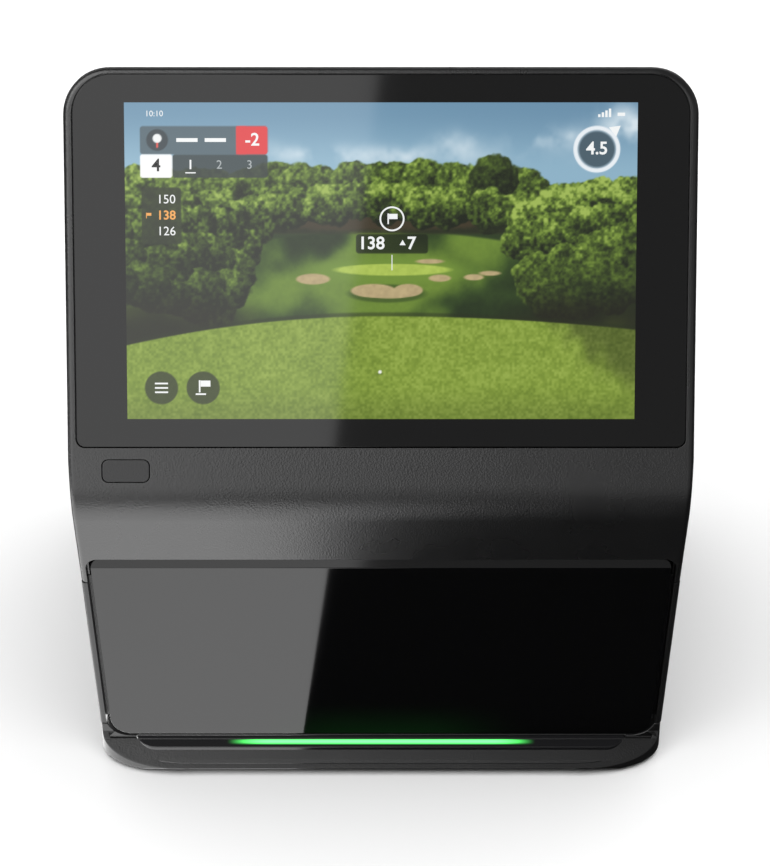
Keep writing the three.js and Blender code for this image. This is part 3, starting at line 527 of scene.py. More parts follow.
def bar_section(name, left, right, grow=0.0):
    """A stretch of the bar: its section is a rounded box, 11.6 mm deep and 18 mm tall."""
    piece = block(name, (left, -0.003 - grow, 0.001 - grow), (right, 0.015 + grow, 0.0126 + grow))
    round_edges(piece, lambda e: abs(direction(e).x) > 0.99, 0.0052 + grow, 8)
    return piece


bar = bar_section("handle_core", -BAR_ENDS, BAR_ENDS, -0.0018)
weld(bar, bar_section("bar_end_left", -BAR_ENDS, -0.046), bar_section("bar_end_right", 0.046, BAR_ENDS))
for side in (-1, 1):
    carve(bar, upright("screw_recess", 0.0037, side * 0.054, 0.006, -0.001, 0.0040),
          upright("screw_shank_hole", 0.0018, side * 0.054, 0.006, 0.003, 0.0106))
lay(bar, HANDLE_PLANE)
soften(bar, 0.0004)
dress(bar, finish_material("handle_plastic", (0.015, 0.015, 0.0155), 0.45, grain=0.0008, depth=0.00004),
      ["handle_bar"])

grip = bar_section("handle_sleeve", -GRIP_HALF, GRIP_HALF)
RIB_PITCH, GROOVE_HALF = 0.0038, 0.0005
grooves = gather("grooves", [block("groove", (rib * RIB_PITCH - GROOVE_HALF, -0.02, -0.02),
                                   (rib * RIB_PITCH + GROOVE_HALF, 0.03, 0.03)) for rib in range(-11, 12)])
carve(grooves, bar_section("groove_floor", -0.1, 0.1, -0.0006))
carve(grip, grooves)
carve(grip, bar_section("grip_bore", -0.1, 0.1, -0.0015))
lay(grip, HANDLE_PLANE)
soften(grip, 0.0002)
grip_rubber = finish_material("grip_rubber", (0.020, 0.020, 0.021), 0.8,
                              drift=0.2, grain=0.0005, depth=0.00008)
dress(grip, grip_rubber, ["handle_grip"])

# ---- Window frame ----------------------------------------------------------------------------
# The lower moulding that carries the camera window: two thin strips beside it, a seam under
# the shoulder and a sill behind the glass. It is clipped between the housing and the base.

STRIP_FOOT_Y = -0.07395
frame_plastic = finish_material("frame_plastic", (0.007, 0.007, 0.0072), 0.30, grain=0.0008, depth=0.00004)

strips = block("window_surround", (-0.14, STRIP_FOOT_Y - 0.002, 0.0173),
               (0.14, SPLIT_FOOT.y - GAP, SEAM_Z - 0.0003))
slice_off(strips, (0, CREASE.y, SEAM_Z), (0, HOUSING_FOOT - SEAM_Z, CREASE.y - STRIP_FOOT_Y))
for side in (-1, 1):
    slice_off(strips, (side * HALF_WIDTH, 0, TAPER_TOP), (side * TAPER_OUT.x, 0, TAPER_OUT.z))
round_edges(strips, lambda e: abs(direction(e).z) > 0.9 and e.verts[0].co.y < -0.06, 0.0014, 4)
carve(strips, window_pocket("window_pocket_frame"),
      window_plate("window_opening", -0.006, 0.014, 0.085, -0.04, 0.01, 0.006, 0.006),
      window_plate("behind_opening", 0.0015, 0.010, 0.089, -0.06, -0.007, 0.004, 0.004))
soften(strips, 0.0003)
dress(strips, frame_plastic, ["window_frame"])

# ---- Camera window ---------------------------------------------------------------------------
# A sheet of infrared-clear black acrylic, glossy in front, with a slanted strip cut along its
# top edge. It is bonded into its frame over a rubber seal.


def gloss_material(name, color, roughness):
    """A polished face with the faintest haze."""
    material = finish_material(name, color, roughness, drift=0.06, uneven=0.012)
    material.node_tree.nodes["Principled BSDF"].inputs["IOR"].default_value = 1.49
    return material


window = window_plate("window_glass", 0, 0.0003, 0.1036, -0.003, 0.0, 0.0035, 0.009)
slope = math.radians(35)
slice_off(window, WINDOW_PLANE @ Vector((0, 0.1004, 0)),
          WINDOW_PLANE.to_3x3() @ Vector((0, math.sin(slope), math.cos(slope))))
soften(window, 0.00025, 3, 20)
# The window's gloss; a painted green glow is added to this same material under Status light.
window_gloss_painted_glow = gloss_material("window_gloss_painted_glow", (0.0015, 0.0015, 0.0017), 0.055)
dress(window, window_gloss_painted_glow, ["camera_window"])

# ---- Base --------------------------------------------------------------------------------------
# The floor pan. In front it runs out in a dished ramp inside a raised rim, below the window.
# Cups hold the levelling wheels, and four screws go up into the housing.

BASE_FRONT, BASE_BACK = -0.090, 0.090
BASE_CORNER_X, BASE_CORNER_Y = 0.040, 0.020
CORNER_SHAPE = 0.547        # a superellipse of power 2.3


def plan_block(name, shrink, low, high):
    """A block of the base's plan: wide, squarish round corners in front."""
    squeeze = (BASE_CORNER_Y - shrink) / BASE_CORNER_X
    half = (HALF_WIDTH_FOOT - shrink) * squeeze
    piece = block(name, (-half, BASE_FRONT + shrink, low), (half, BASE_BACK - shrink, high))
    round_edges(piece, lambda e: abs(direction(e).z) > 0.99 and e.verts[0].co.y < 0,
                BASE_CORNER_Y - shrink, 20, CORNER_SHAPE)
    lay(piece, Matrix.Diagonal((1 / squeeze, 1, 1, 1)))
    round_edges(piece, lambda e: abs(direction(e).z) > 0.99 and e.verts[0].co.y > 0.08, BACK_EDGE - shrink, 6)
    return piece


def wedge(name, low, high, *cuts):
    """A block with one or more slanted faces; each cut is a point and its outward direction."""
    piece = block(name, low, high)
    for y, z, out_y, out_z in cuts:
        slice_off(piece, (0, y, z), (0, out_y, out_z))
    return piece


tray = plan_block("base_pan", 0, 0.002, 0.017)
slice_off(tray, (0, -0.0875, 0.002), (0, -0.0024, -0.0025))
slice_off(tray, (0, 0.088, 0.002), (0, 0.002, -0.002))
carve(tray, block("above_pan", (-0.2, SPLIT_FOOT.y - 0.0003, 0.0137), (0.2, 0.2, 0.05)),
      wedge("above_ramp", (-0.2, -0.12, -0.02), (0.2, STRIP_FOOT_Y + 0.001, 0.05),
            (-0.090, 0.0044, 0.0054, -0.0138), (-0.0762, 0.0098, 0.0027, -0.0020),
            (-0.0742, 0.0125, 0.0045, -0.00025)),
      block("pan_hollow", (-0.1225, -0.066, 0.005), (0.1225, 0.0864, 0.04)))
LEVELER_X, LEVELER_Y = 0.098, -0.028
FOOT_X, FOOT_Y = 0.104, 0.070
for side in (-1, 1):
    x = side * LEVELER_X
    weld(tray, upright("cup", 0.019, x, LEVELER_Y, 0.0021, 0.013, 48),
         upright("cup_neck", 0.009, x, LEVELER_Y, 0.012, 0.024))
    carve(tray, upright("wheel_space", 0.0165, x, LEVELER_Y, -0.01, 0.0108, 48),
          upright("insert_space", 0.0068, x, LEVELER_Y, 0.005, 0.04),
          upright("foot_pocket", 0.0113, side * FOOT_X, FOOT_Y, -0.01, 0.003))
for x in (-0.060, 0.060):
    for y in (-0.040, 0.081):
        carve(tray, upright("screw_head_hole", 0.0033, x, y, -0.01, 0.0043, 20),
              upright("screw_hole", 0.0017, x, y, 0.003, 0.0123, 16))
DISH_LIP, DISH_FLOOR = (-0.0874, 0.0049), (-0.0819, 0.0090)
dish_front = plan_block("dish_front", 0.0026, 0.0049, 0.04)
slice_off(dish_front, (0, *DISH_LIP), (0, DISH_FLOOR[1] - DISH_LIP[1], DISH_LIP[0] - DISH_FLOOR[0]))
slice_off(dish_front, (0, DISH_FLOOR[0], 0), (0, 1, 0))
dish_back = plan_block("dish_back", 0.0026, DISH_FLOOR[1], 0.04)
slice_off(dish_back, (0, -0.0743, 0), (0, 1, 0))
slice_off(dish_back, (0, DISH_FLOOR[0] - 0.0001, 0), (0, -1, 0))


def lens_plate(name, grow, low, high):
    return plate(name, 0.1081 + grow, -0.0815 - grow, -0.0741 + grow, low, high, 0.0005, 0.0062,
                 Matrix.Identity(4), half_top=0.1106 + grow)


carve(tray, dish_front, dish_back, lens_plate("lens_pocket", 0.0003, 0.0072, 0.04),
      block("board_slot", (-0.076, -0.0806, 0.0052), (0.076, -0.0754, 0.008)),
      window_pocket("window_pocket_base"))
soften(tray, 0.0004, 3)
dress(tray, frame_plastic, ["base_tray"])
tray.visible_glossy = False

# ---- Status light ------------------------------------------------------------------------------
# A smoked lens let into the ledge along the whole front. A row of green lamps on a strip board
# lights its middle, fades towards both ends and glows on the ledge. The green glow up the window is
# painted light: the window's own material emits it, fading upwards and towards its sides.

LIGHT_Y, LIGHT_HALF, LIGHT_FADE = -0.0780, 0.060, 0.010
GREEN = (0.10, 1.0, 0.16)


def ramp_between(tree, source, start, stop, low=0.0, high=1.0):
    node = tree.nodes.new("ShaderNodeMapRange")
    node.interpolation_type = "SMOOTHSTEP"
    for label, value in (("From Min", start), ("From Max", stop), ("To Min", low), ("To Max", high)):
        node.inputs[label].default_value = value
    wire(tree, source, node.inputs["Value"])
    return node.outputs[0]


def calculate(tree, operation, first, second=None, constant=None):
    node = tree.nodes.new("ShaderNodeMath")
    node.operation = operation
    wire(tree, first, node.inputs[0])
    if second is not None:
        wire(tree, second, node.inputs[1])
    if constant is not None:
        node.inputs[1].default_value = constant
    return node.outputs[0]


def painted_glow(material, color, strength, reach_low, reach_high, axis, half=LIGHT_HALF, fade=LIGHT_FADE):
    """Painted light: an emitted glow that falls off along one axis and towards both ends of the lamp row."""
    tree = material.node_tree
    shader = tree.nodes["Principled BSDF"]
    place = tree.nodes.new("ShaderNodeTexCoord").outputs["Object"]
    split = tree.nodes.new("ShaderNodeSeparateXYZ")
    wire(tree, place, split.inputs[0])
    along = calculate(tree, "ABSOLUTE", split.outputs["X"])
    ends = ramp_between(tree, along, half - fade, half + fade, 1, 0)
    across = ramp_between(tree, split.outputs[axis], reach_low, reach_high, 1, 0)
    fall = calculate(tree, "POWER", calculate(tree, "MULTIPLY", ends, across), constant=1.6)
    shader.inputs["Emission Color"].default_value = (*color, 1)
    wire(tree, calculate(tree, "MULTIPLY", fall, constant=strength), shader.inputs["Emission Strength"])


lens = lens_plate("status_lens", 0, 0.0075, 0.0096)
soften(lens, 0.0004, 3)
lens_smoke = gloss_material("lens_smoke", (0.012, 0.012, 0.013), 0.22)
tree = lens_smoke.node_tree
lens_place = tree.nodes.new("ShaderNodeSeparateXYZ")
wire(tree, tree.nodes.new("ShaderNodeTexCoord").outputs["Object"], lens_place.inputs[0])
lens_ends = ramp_between(tree, calculate(tree, "ABSOLUTE", lens_place.outputs["X"]), LIGHT_HALF - LIGHT_FADE,
                         LIGHT_HALF + LIGHT_FADE, 1, 0)
off_line = calculate(tree, "SUBTRACT", lens_place.outputs["Y"], constant=LIGHT_Y)
from_line = calculate(tree, "ABSOLUTE", off_line)
line = ramp_between(tree, from_line, 0.0003, 0.0024, 1, 0)
light = calculate(tree, "MULTIPLY", lens_ends, calculate(tree, "POWER", line, constant=1.5))
lens_shader = tree.nodes["Principled BSDF"]
lens_shader.inputs["Emission Color"].default_value = (*GREEN, 1)
wire(tree, calculate(tree, "MULTIPLY", light, constant=3.2), lens_shader.inputs["Emission Strength"])
dress(lens, lens_smoke, ["status_light_lens"])
lens.visible_glossy = False
frame["nodes"]["led_board"].visible_glossy = False
# Painted glow: the window's material itself emits green light, fading up from the ledge, as if lit by the
# lamps.
painted_glow(window_gloss_painted_glow, GREEN, 0.010, 0.006, 0.034, "Z", 0.045, 0.03)

# ---- Cover glass -------------------------------------------------------------------------------
# The screen's front glass, with a black border printed behind it. It lies flush in the rim with
# a fine gap all round.

BORDER_BLACK, BORDER_GLOSS = (0.0012, 0.0012, 0.0013), 0.045
glass = plate("screen_cover", 0.1303, -0.0800, 0.0796, -0.0022, -0.0002, 0.0165, 0.0035, SCREEN_PLANE,
              steps=14)
soften(glass, 0.00025, 3)
dress(glass, gloss_material("border_glass", BORDER_BLACK, BORDER_GLOSS), ["cover_glass"])

# ---- Picture -----------------------------------------------------------------------------------
# What the display shows: a golf hole seen from the tee. It is painted once, from back to front,
# on two fine grids that lie on the glass. Sizes are millimetres from the middle of the screen.

PICTURE_HALF, PICTURE_TALL = 108.48, 67.8
COLUMNS, ROWS = 540, 338
GLASS_FACE = -0.0002
paint_x, paint_u = np.meshgrid(np.linspace(-PICTURE_HALF, PICTURE_HALF, COLUMNS + 1),
                               np.linspace(-PICTURE_TALL, PICTURE_TALL, ROWS + 1))
draw = np.random.default_rng(7)


def blotches(cell, octaves=3):
    """Soft noise from 0 to 1; cell is the size of its largest blotches."""
    total, weight = np.zeros_like(paint_x), 0.0
    for octave in range(octaves):
        size = cell / 2 ** octave
        wide, tall = int(2 * PICTURE_HALF / size) + 3, int(2 * PICTURE_TALL / size) + 3
        grid = draw.random((tall, wide))
        gx, gu = (paint_x + PICTURE_HALF) / size, (paint_u + PICTURE_TALL) / size
        ix, iu = gx.astype(int), gu.astype(int)
        fx, fu = gx - ix, gu - iu
        fx, fu = fx * fx * (3 - 2 * fx), fu * fu * (3 - 2 * fu)
        low = grid[iu, ix] * (1 - fx) + grid[iu, ix + 1] * fx
        high = grid[iu + 1, ix] * (1 - fx) + grid[iu + 1, ix + 1] * fx
        total += (low * (1 - fu) + high * fu) * 0.5 ** octave
        weight += 0.5 ** octave
    return total / weight


def shades(amount, *colors):
    """Runs through the colours as amount goes from 0 to 1."""
    steps = np.linspace(0, 1, len(colors))
    bands = [np.interp(amount, steps, [color[band] for color in colors]) for band in range(3)]
    return np.stack(bands, -1)


def step_up(value, start, stop):
    t = np.clip((value - start) / (stop - start), 0, 1)
    return t * t * (3 - 2 * t)


def lay_on(cover, color):
    global paint
    cover = np.clip(cover, 0, 1)[..., None]
    paint = paint * (1 - cover) + np.asarray(color, float) * cover


def oval(x, u, wide, tall, soft=0.4):
    reach = np.hypot((paint_x - x) / wide, (paint_u - u) / tall)
    return np.clip((1 - reach) * min(wide, tall) / soft + 0.5, 0, 1)


def panel(left, right, low, high, corner=1.0):
    dx = np.abs(paint_x - (left + right) / 2) - (right - left) / 2 + corner
    du = np.abs(paint_u - (low + high) / 2) - (high - low) / 2 + corner
    outside = np.hypot(np.maximum(dx, 0), np.maximum(du, 0)) + np.minimum(np.maximum(dx, du), 0) - corner
    return np.clip(0.5 - outside / 0.4, 0, 1)


# Sky, deeper at the top and to the right, with low soft clouds
sky_depth = step_up(paint_u, 36, 68) * 0.8 + 0.2 * step_up(paint_x, -60, 108)
paint = shades(sky_depth, (148, 184, 204), (104, 141, 168))
wisps = blotches(14, 4)
CLOUDS = ((6, 45, 40, 4, 0.55), (-30, 46, 16, 3.2, 0.5), (32, 50, 9, 5, 0.5), (75, 52, 17, 4.5, 0.6),
          (104, 58, 12, 8, 0.75), (88, 43, 6, 3, 0.3), (-62, 50, 15, 3, 0.25))
for x, u, wide, tall, strength in CLOUDS:
    away = np.exp(-((paint_x - x) / wide) ** 2 - ((paint_u - u) / tall) ** 2)
    lay_on(away * strength * step_up(wisps, 0.3, 0.75) * 1.6, (212, 226, 234))

# Fairway: sunlit grass crossed by the long shadows of the trees
mottle, grass = blotches(26, 3), blotches(1.6, 2)
lay_on(np.where(paint_u < 22, 1, 0), (44, 60, 32))
sunny = step_up(mottle + 0.5 * np.exp(-((paint_x - 8) / 46) ** 2 - ((paint_u + 6) / 14) ** 2), 0.40, 0.84)
meadow = shades(sunny * 0.9 + 0.1 * grass, (33, 47, 24), (52, 73, 32), (84, 110, 42), (110, 138, 52))
lay_on(step_up(14 - 0.0016 * paint_x ** 2 - paint_u, 0, 1.5), meadow)
lay_on(0.8 * step_up(paint_u, 11.0, 14.5) * np.where(paint_u < 19, 1, 0), (66, 52, 38))

# Green, its bunkers and the flagstick
lay_on(oval(5, -3.8, 34, 5.5, 2.5) * 0.75, (112, 142, 54))
lay_on(oval(5, -3.4, 24.5, 2.5), shades(0.4 + 0.6 * grass, (146, 170, 68), (178, 200, 90)))
lay_on(oval(2.6, -13.6, 16.6, 3.9, 0.8) * 0.8, (62, 84, 34))
BUNKERS = ((-28.9, -7.4, 7.2, 2.3), (-3.2, -12.4, 9.6, 2.9), (3.5, -13.6, 11.5, 2.1), (11.6, -12.2, 6.2, 2.7),
           (20.8, 0.2, 5.8, 1.0), (25, -7.0, 4.7, 1.5), (39.5, -6.6, 4.2, 1.3), (46.3, -4.9, 4.6, 1.0))
for x, u, wide, tall in BUNKERS:
    lay_on(oval(x, u, wide, tall), shades(0.3 + 0.7 * grass, (160, 142, 106), (192, 172, 128)))


def crown(x, u, wide, tall, tone):
    """A tree crown: a ragged dome lit from the upper left, with clumps of leaves."""
    dx, du = (paint_x - x) / wide, (paint_u - u) / tall
    near = (np.abs(dx) < 1.3) & (np.abs(du) < 1.3)
    reach = np.hypot(dx, du) + 0.34 * (leaf_edge - 0.5)
    height = np.sqrt(np.clip(1 - reach ** 2, 0, 1))
    lit = 0.30 - 0.26 * dx + 0.42 * du + 0.12 * height + 0.95 * (leaves - 0.5) + 0.55 * (clumps - 0.5)
    color = shades(np.clip(lit * tone, 0, 1), (27, 33, 20), (44, 56, 27), (72, 92, 36), (112, 138, 54),
                   (158, 182, 86))
    lay_on(np.where(near, step_up(1 - reach, 0.0, 0.10), 0), color)


leaves, clumps, leaf_edge = blotches(1.5, 2), blotches(5.5, 2), blotches(4.0, 3)
# The far row along the sky, then the nearer trees on both sides, each row in front of the last
for x in range(-112, 116, 11):
    rise = 33 - 0.0004 * abs(x + 5) ** 2 - (6 if x > 70 else 0)
    crown(x + draw.uniform(-3, 3), rise + draw.uniform(-1.5, 1.5), draw.uniform(9, 12),
          draw.uniform(9, 12), 0.9)
crown(48, 36, 11, 10, 0.55)
for x in range(-108, 112, 9):
    rise = 24 - 0.0005 * abs(x) ** 2
    crown(x + draw.uniform(-3, 3), rise + draw.uniform(-2, 2), draw.uniform(7, 10), draw.uniform(8, 11), 0.95)
lay_on(step_up(14.5 + 3 * (leaf_edge - 0.5) + 0.0008 * paint_x ** 2 - paint_u, 0, 3)
       * step_up(paint_u, 11.5, 13) * np.where(np.abs(paint_x) < 66, 0.85, 0), (36, 42, 26))
for side, start in ((-1, 56), (1, 62)):
    for ring, (low, high) in enumerate(((17, 30), (6, 22), (-6, 12), (-16, 2), (-24, -8))):
        for place in np.arange(start + ring * 3.5, 116, 10.5):
            middle = low + (high - low) * (place - start) / 54
            tone = 1.08 - 0.14 * ring if side > 0 else 1.02 - 0.10 * ring
            crown(side * (place + draw.uniform(-2, 2)), middle + draw.uniform(-2, 2), draw.uniform(9, 14),
                  draw.uniform(8, 12), tone)
lay_on(step_up(-paint_u - 8 + 8 * (clumps - 0.5), 0, 14) * step_up(np.abs(paint_x + 3), 62, 74) * 0.6,
       (30, 31, 21))
lay_on(step_up(-paint_u - 14, 0, 12) * step_up(np.abs(paint_x), 44, 60) * 0.35, (34, 30, 22))

# The tee in front: close-cut grass with a curved edge, in shade on the far right
edge = -23.3 - np.where(paint_x > 0, 5.8, 12.5) * (paint_x / PICTURE_HALF) ** 2
lay_on(step_up(edge + 2.2 - paint_u, 0, 1.2) * 0.5, (36, 44, 22))
blades = 0.55 * blotches(1.0, 1) + 0.3 * blotches(5, 2) + 0.15 * blotches(30, 1)
turf = shades(blades, (100, 124, 38), (128, 152, 56), (158, 180, 82))
shade = step_up(paint_x + 0.9 * (paint_u + 40) + 14 * (clumps - 0.5), 78, 100) * step_up(paint_u, -62, -44)
turf = turf * (1 - 0.34 * shade[..., None]) * (1 - 0.12 * step_up(-paint_u, 52, 68)[..., None])
lay_on(step_up(edge - paint_u, -0.3, 0.5), turf)
lay_on(oval(-0.4, -48.2, 1.3, 0.45, 0.5) * 0.5, (70, 90, 32))
lay_on(oval(-0.4, -47.4, 0.75, 0.75), (236, 238, 232))

# Dark see-through panels behind the read-outs
SLATE = (84, 100, 108)
PANELS = ((-101.9, -47.9, 45.8, 57.8, SLATE, 0.9), (-88.3, -47.9, 35.9, 45.8, (52, 60, 60), 0.85),
          (-101.5, -84.7, 7.6, 31.7, (46, 54, 36), 0.82), (-10.6, 20.0, 3.6, 11.8, (26, 34, 18), 0.8))
for left, right, low, high, color, cover in PANELS:
    lay_on(panel(left, right, low, high, 1.3) * cover, color)
lay_on(panel(-61.2, -47.9, 45.8, 57.8, 1.3), (222, 66, 70))
lay_on(panel(-61.2, -57, 45.8, 57.8, 0.2), (222, 66, 70))
lay_on(panel(-101.9, -88.3, 35.9, 45.8, 1.0), (250, 250, 250))
for x in (-93.8, -76.0):
    lay_on(oval(x, -54.3, 7.1, 7.1) * 0.82, (48, 56, 34))
lay_on(oval(-94.6, 51.9, 4.6, 4.6), (60, 70, 76))
lay_on(oval(-94.6, 52.6, 1.9, 1.9), (240, 242, 242))
lay_on(panel(-95.0, -94.2, 48.6, 50.8, 0.3), (226, 92, 84))
lay_on(oval(91.3, 48.0, 9.9, 9.9) * 0.95, (236, 241, 245))
lay_on(oval(91.3, 48.0, 8.2, 8.2), (150, 172, 186))
lay_on(oval(91.3, 48.0, 7.6, 7.6, 0.8), (74, 94, 106))


def picture_half(name, first, last):
    """A grid over some of the picture's columns, with the paint as its vertex colours."""
    left, right = paint_x[0, first], paint_x[0, last]
    set_down()
    bpy.ops.mesh.primitive_grid_add(x_subdivisions=last - first, y_subdivisions=ROWS, size=1)
    sheet = bpy.context.object
    sheet.name = name
    sheet.scale = ((right - left) / 1000, 2 * PICTURE_TALL / 1000, 1)
    sheet.location = ((left + right) / 2000, 0, 0)
    bpy.ops.object.transform_apply(location=True, rotation=True, scale=True)
    colors = sheet.data.color_attributes.new("picture", "FLOAT_COLOR", "POINT")
    spots = np.empty(len(sheet.data.vertices) * 3)
    sheet.data.vertices.foreach_get("co", spots)
    spots = spots.reshape(-1, 3) * 1000
    column = np.rint((spots[:, 0] + PICTURE_HALF) / (2 * PICTURE_HALF) * COLUMNS).astype(int)
    row = np.rint((spots[:, 1] + PICTURE_TALL) / (2 * PICTURE_TALL) * ROWS).astype(int)
    tint = paint[row, column] / 255
    tint = np.where(tint > 0.04045, ((tint + 0.055) / 1.055) ** 2.4, tint / 12.92)
    colors.data.foreach_set("color", np.concatenate([tint, np.ones((len(tint), 1))], 1).ravel())
    lay(sheet, SCREEN_PLANE @ Matrix.Translation((0, 0, GLASS_FACE + 0.00002)))
    return sheet


picture_light = gloss_material("picture_light", BORDER_BLACK, BORDER_GLOSS)
picture_node = picture_light.node_tree.nodes.new("ShaderNodeAttribute")
picture_node.attribute_name = "picture"
wire(picture_light.node_tree, picture_node.outputs["Color"],
     picture_light.node_tree.nodes["Principled BSDF"].inputs["Emission Color"])
picture_light.node_tree.nodes["Principled BSDF"].inputs["Emission Strength"].default_value = 1.0
for name, first, last in (("picture_left", 0, COLUMNS // 2), ("picture_right", COLUMNS // 2, COLUMNS)):
    dress(picture_half(name, first, last), picture_light)

# ---- Read-outs ---------------------------------------------------------------------------------
# Plain numerals and simple signs that the display draws over the picture, all thin flat shapes
# lit from behind. Only numbers are shown.

READ_OUT = -0.00014
FLAT = 0.00002


def glow_paint(name, color):
    material = gloss_material(name, BORDER_BLACK, BORDER_GLOSS)
    tree = material.node_tree
    shader = tree.nodes["Principled BSDF"]
    shader.inputs["Emission Color"].default_value = (*color, 1)
    place = tree.nodes.new("ShaderNodeTexCoord").outputs["Object"]
    wire(tree, add_range(tree, add_noise(tree, place, 900), 0.92, 1.0), shader.inputs["Emission Strength"])
    return material


def place_sign(sign, x, u, turn=0.0):
    pick(sign)
    place = SCREEN_PLANE @ Matrix.Translation((x / 1000, u / 1000, READ_OUT))
    lay(sign, place @ Matrix.Rotation(turn, 4, "Z"))
    return sign


def numerals(words, x, u, height, align="CENTER", bold=0.0):
    """Upright numerals; height is that of a digit, in millimetres."""
    set_down()
    bpy.ops.object.text_add()
    sign = bpy.context.object
    sign.data.body = words
    sign.data.align_x = align
    sign.data.align_y = "CENTER"
    sign.data.size = height / 1000 / 0.69
    sign.data.offset = bold / 1000
    sign.data.extrude = FLAT / 2
    sign.data.resolution_u = 4
    bpy.ops.object.convert(target="MESH")
    return place_sign(sign, x, u)


def bar_sign(x, u, wide, tall, turn=0.0):
    bar = block("bar", (-wide / 2000, -tall / 2000, 0), (wide / 2000, tall / 2000, FLAT))
    return place_sign(bar, x, u, turn)


def spike(x, u, radius, turn, sides=3):
    set_down()
    bpy.ops.mesh.primitive_cylinder_add(vertices=sides, radius=radius / 1000, depth=FLAT)
    return place_sign(bpy.context.object, x, u, turn)


def hoop(x, u, outer, inner):
    ring = upright("hoop", outer / 1000, 0, 0, -FLAT / 2, FLAT / 2, 48)
    carve(ring, upright("hoop_bore", inner / 1000, 0, 0, -FLAT, FLAT, 48))
    return place_sign(ring, x, u)


def flag(x, u, size):
    return [bar_sign(x - size * 0.45, u, size * 0.16, size * 1.25),
            bar_sign(x + size * 0.15, u + size * 0.28, size * 1.0, size * 0.62)]


def join_signs(name, signs, material):
    set_down()
    for sign in signs:
        sign.select_set(True)
    bpy.context.view_layer.objects.active = signs[0]
    bpy.ops.object.join()
    sheet = bpy.context.object
    sheet.name = name
    smooth(sheet)
    dress(sheet, material)


white_signs = [numerals("10:10", -95.8, 63.0, 2.4), numerals("-2", -54.4, 51.9, 5.2, bold=0.12),
               numerals("1", -80.6, 41.3, 3.8, bold=0.1), numerals("150", -91.0, 26.6, 3.7),
               numerals("126", -91.0, 13.0, 3.7), numerals("138", -4.0, 7.8, 5.2, bold=0.14),
               numerals("7", 13.0, 7.8, 5.2, bold=0.14), numerals("4.5", 91.4, 48.2, 5.2, bold=0.14),
               bar_sign(-80.6, 38.0, 4.4, 0.5), bar_sign(4.7, -0.3, 0.35, 6.6), spike(9.2, 7.9, 1.5, 0.0),
               hoop(4.7, 18.4, 5.3, 4.6), spike(99.0, 56.2, 2.9, math.radians(-52)),
               bar_sign(101.5, 62.8, 3.2, 1.4), bar_sign(-82, 51.9, 9, 1.6), bar_sign(-70, 51.9, 9, 1.6)]
white_signs += flag(4.7, 18.4, 3.6) + flag(-75.6, -53.6, 4.2) + [bar_sign(-77.0, -57.0, 4.4, 0.7)]
white_signs += [bar_sign(-93.8, -54.3 + 1.9 * row, 5.6, 0.7) for row in (-1, 0, 1)]
white_signs += [bar_sign(92.2 + 1.5 * step, 62.2 + 0.4 * step, 1.0, 1.2 + 0.8 * step) for step in range(4)]
join_signs("white_read_outs", white_signs, glow_paint("white_light", (0.93, 0.95, 0.95)))
join_signs("grey_read_outs", [numerals("2", -68.4, 41.3, 3.6), numerals("3", -55.6, 41.3, 3.6)],
           glow_paint("grey_light", (0.42, 0.46, 0.47)))
join_signs("black_read_outs", [numerals("4", -95.1, 41.0, 5.2, bold=0.12)],
           glow_paint("dark_light", (0.012, 0.012, 0.012)))
join_signs("orange_read_outs", [numerals("138", -91.0, 19.8, 3.7, bold=0.1)] + flag(-98.6, 19.8, 1.9),
           glow_paint("orange_light", (0.93, 0.42, 0.10)))

# ---- Feet --------------------------------------------------------------------------------------
# Two round rubber feet are pressed into the rear of the base. In front, two pads hang under
# knurled wheels whose stems screw into brass inserts to level the unit.

foot_rubber = finish_material("foot_rubber", (0.018, 0.018, 0.019), 0.82,
                              drift=0.2, grain=0.0004, depth=0.00005)
for name, side in (("left", -1), ("right", 1)):
    foot = upright("heel_" + name, 0.011, side * FOOT_X, FOOT_Y, 0, 0.0027, 48)
    round_edges(foot, lambda e: max(v.co.z for v in e.verts) < 1e-6, 0.0008, 4)
    groove = upright("foot_groove", 0.0085, side * FOOT_X, FOOT_Y, -0.001, 0.0005, 48)
    carve(groove, upright("groove_core", 0.0075, side * FOOT_X, FOOT_Y, -0.002, 0.002, 48))
    carve(foot, groove)
    smooth(foot)
    dress(foot, foot_rubber, ["rear_foot_" + name])

    pad = upright("pad_" + name, 0.012, side * LEVELER_X, LEVELER_Y, 0, 0.0039, 48)
    round_edges(pad, lambda e: max(v.co.z for v in e.verts) < 1e-6, 0.0015, 5)
    smooth(pad)
    dress(pad, foot_rubber, ["leveler_pad_" + name], "leveler_pad_" + name)

    wheel = upright("wheel_" + name, 0.0150, side * LEVELER_X, LEVELER_Y, 0.0042, 0.0098, 96)
    round_edges(wheel, lambda e: abs(direction(e).z) < 0.1, 0.0006, 3)
    flutes = []
    for tooth in range(32):
        angle = 2 * math.pi * tooth / 32
        x, y = side * LEVELER_X + 0.0155 * math.cos(angle), LEVELER_Y + 0.0155 * math.sin(angle)
        flutes.append(upright("flute", 0.0011, x, y, 0, 0.02, 10))
    carve(wheel, gather("flutes", flutes))
    stem = upright("stem", 0.0037, side * LEVELER_X, LEVELER_Y, 0.009, 0.0222, 32)
    rings = []
    for turn in range(9):
        level = 0.0112 + turn * 0.00125
        rings.append(upright("thread_ring", 0.005, side * LEVELER_X, LEVELER_Y, level, level + 0.0005, 32))
    thread = gather("thread", rings)
    carve(thread, upright("thread_core", 0.0033, side * LEVELER_X, LEVELER_Y, 0, 0.03, 32))
    carve(stem, thread)
    weld(wheel, stem)
    smooth(wheel)
    wheel_plastic = finish_material("wheel_plastic_" + name, (0.02, 0.02, 0.021), 0.5,
                                    grain=0.0006, depth=0.00003)
    dress(wheel, wheel_plastic, ["leveler_wheel_" + name], "leveler_wheel_" + name)

# ---- Port cover --------------------------------------------------------------------------------
# A soft rubber flap over the sockets. It turns on a steel pin along its top edge and has a lip
# to lift it by.

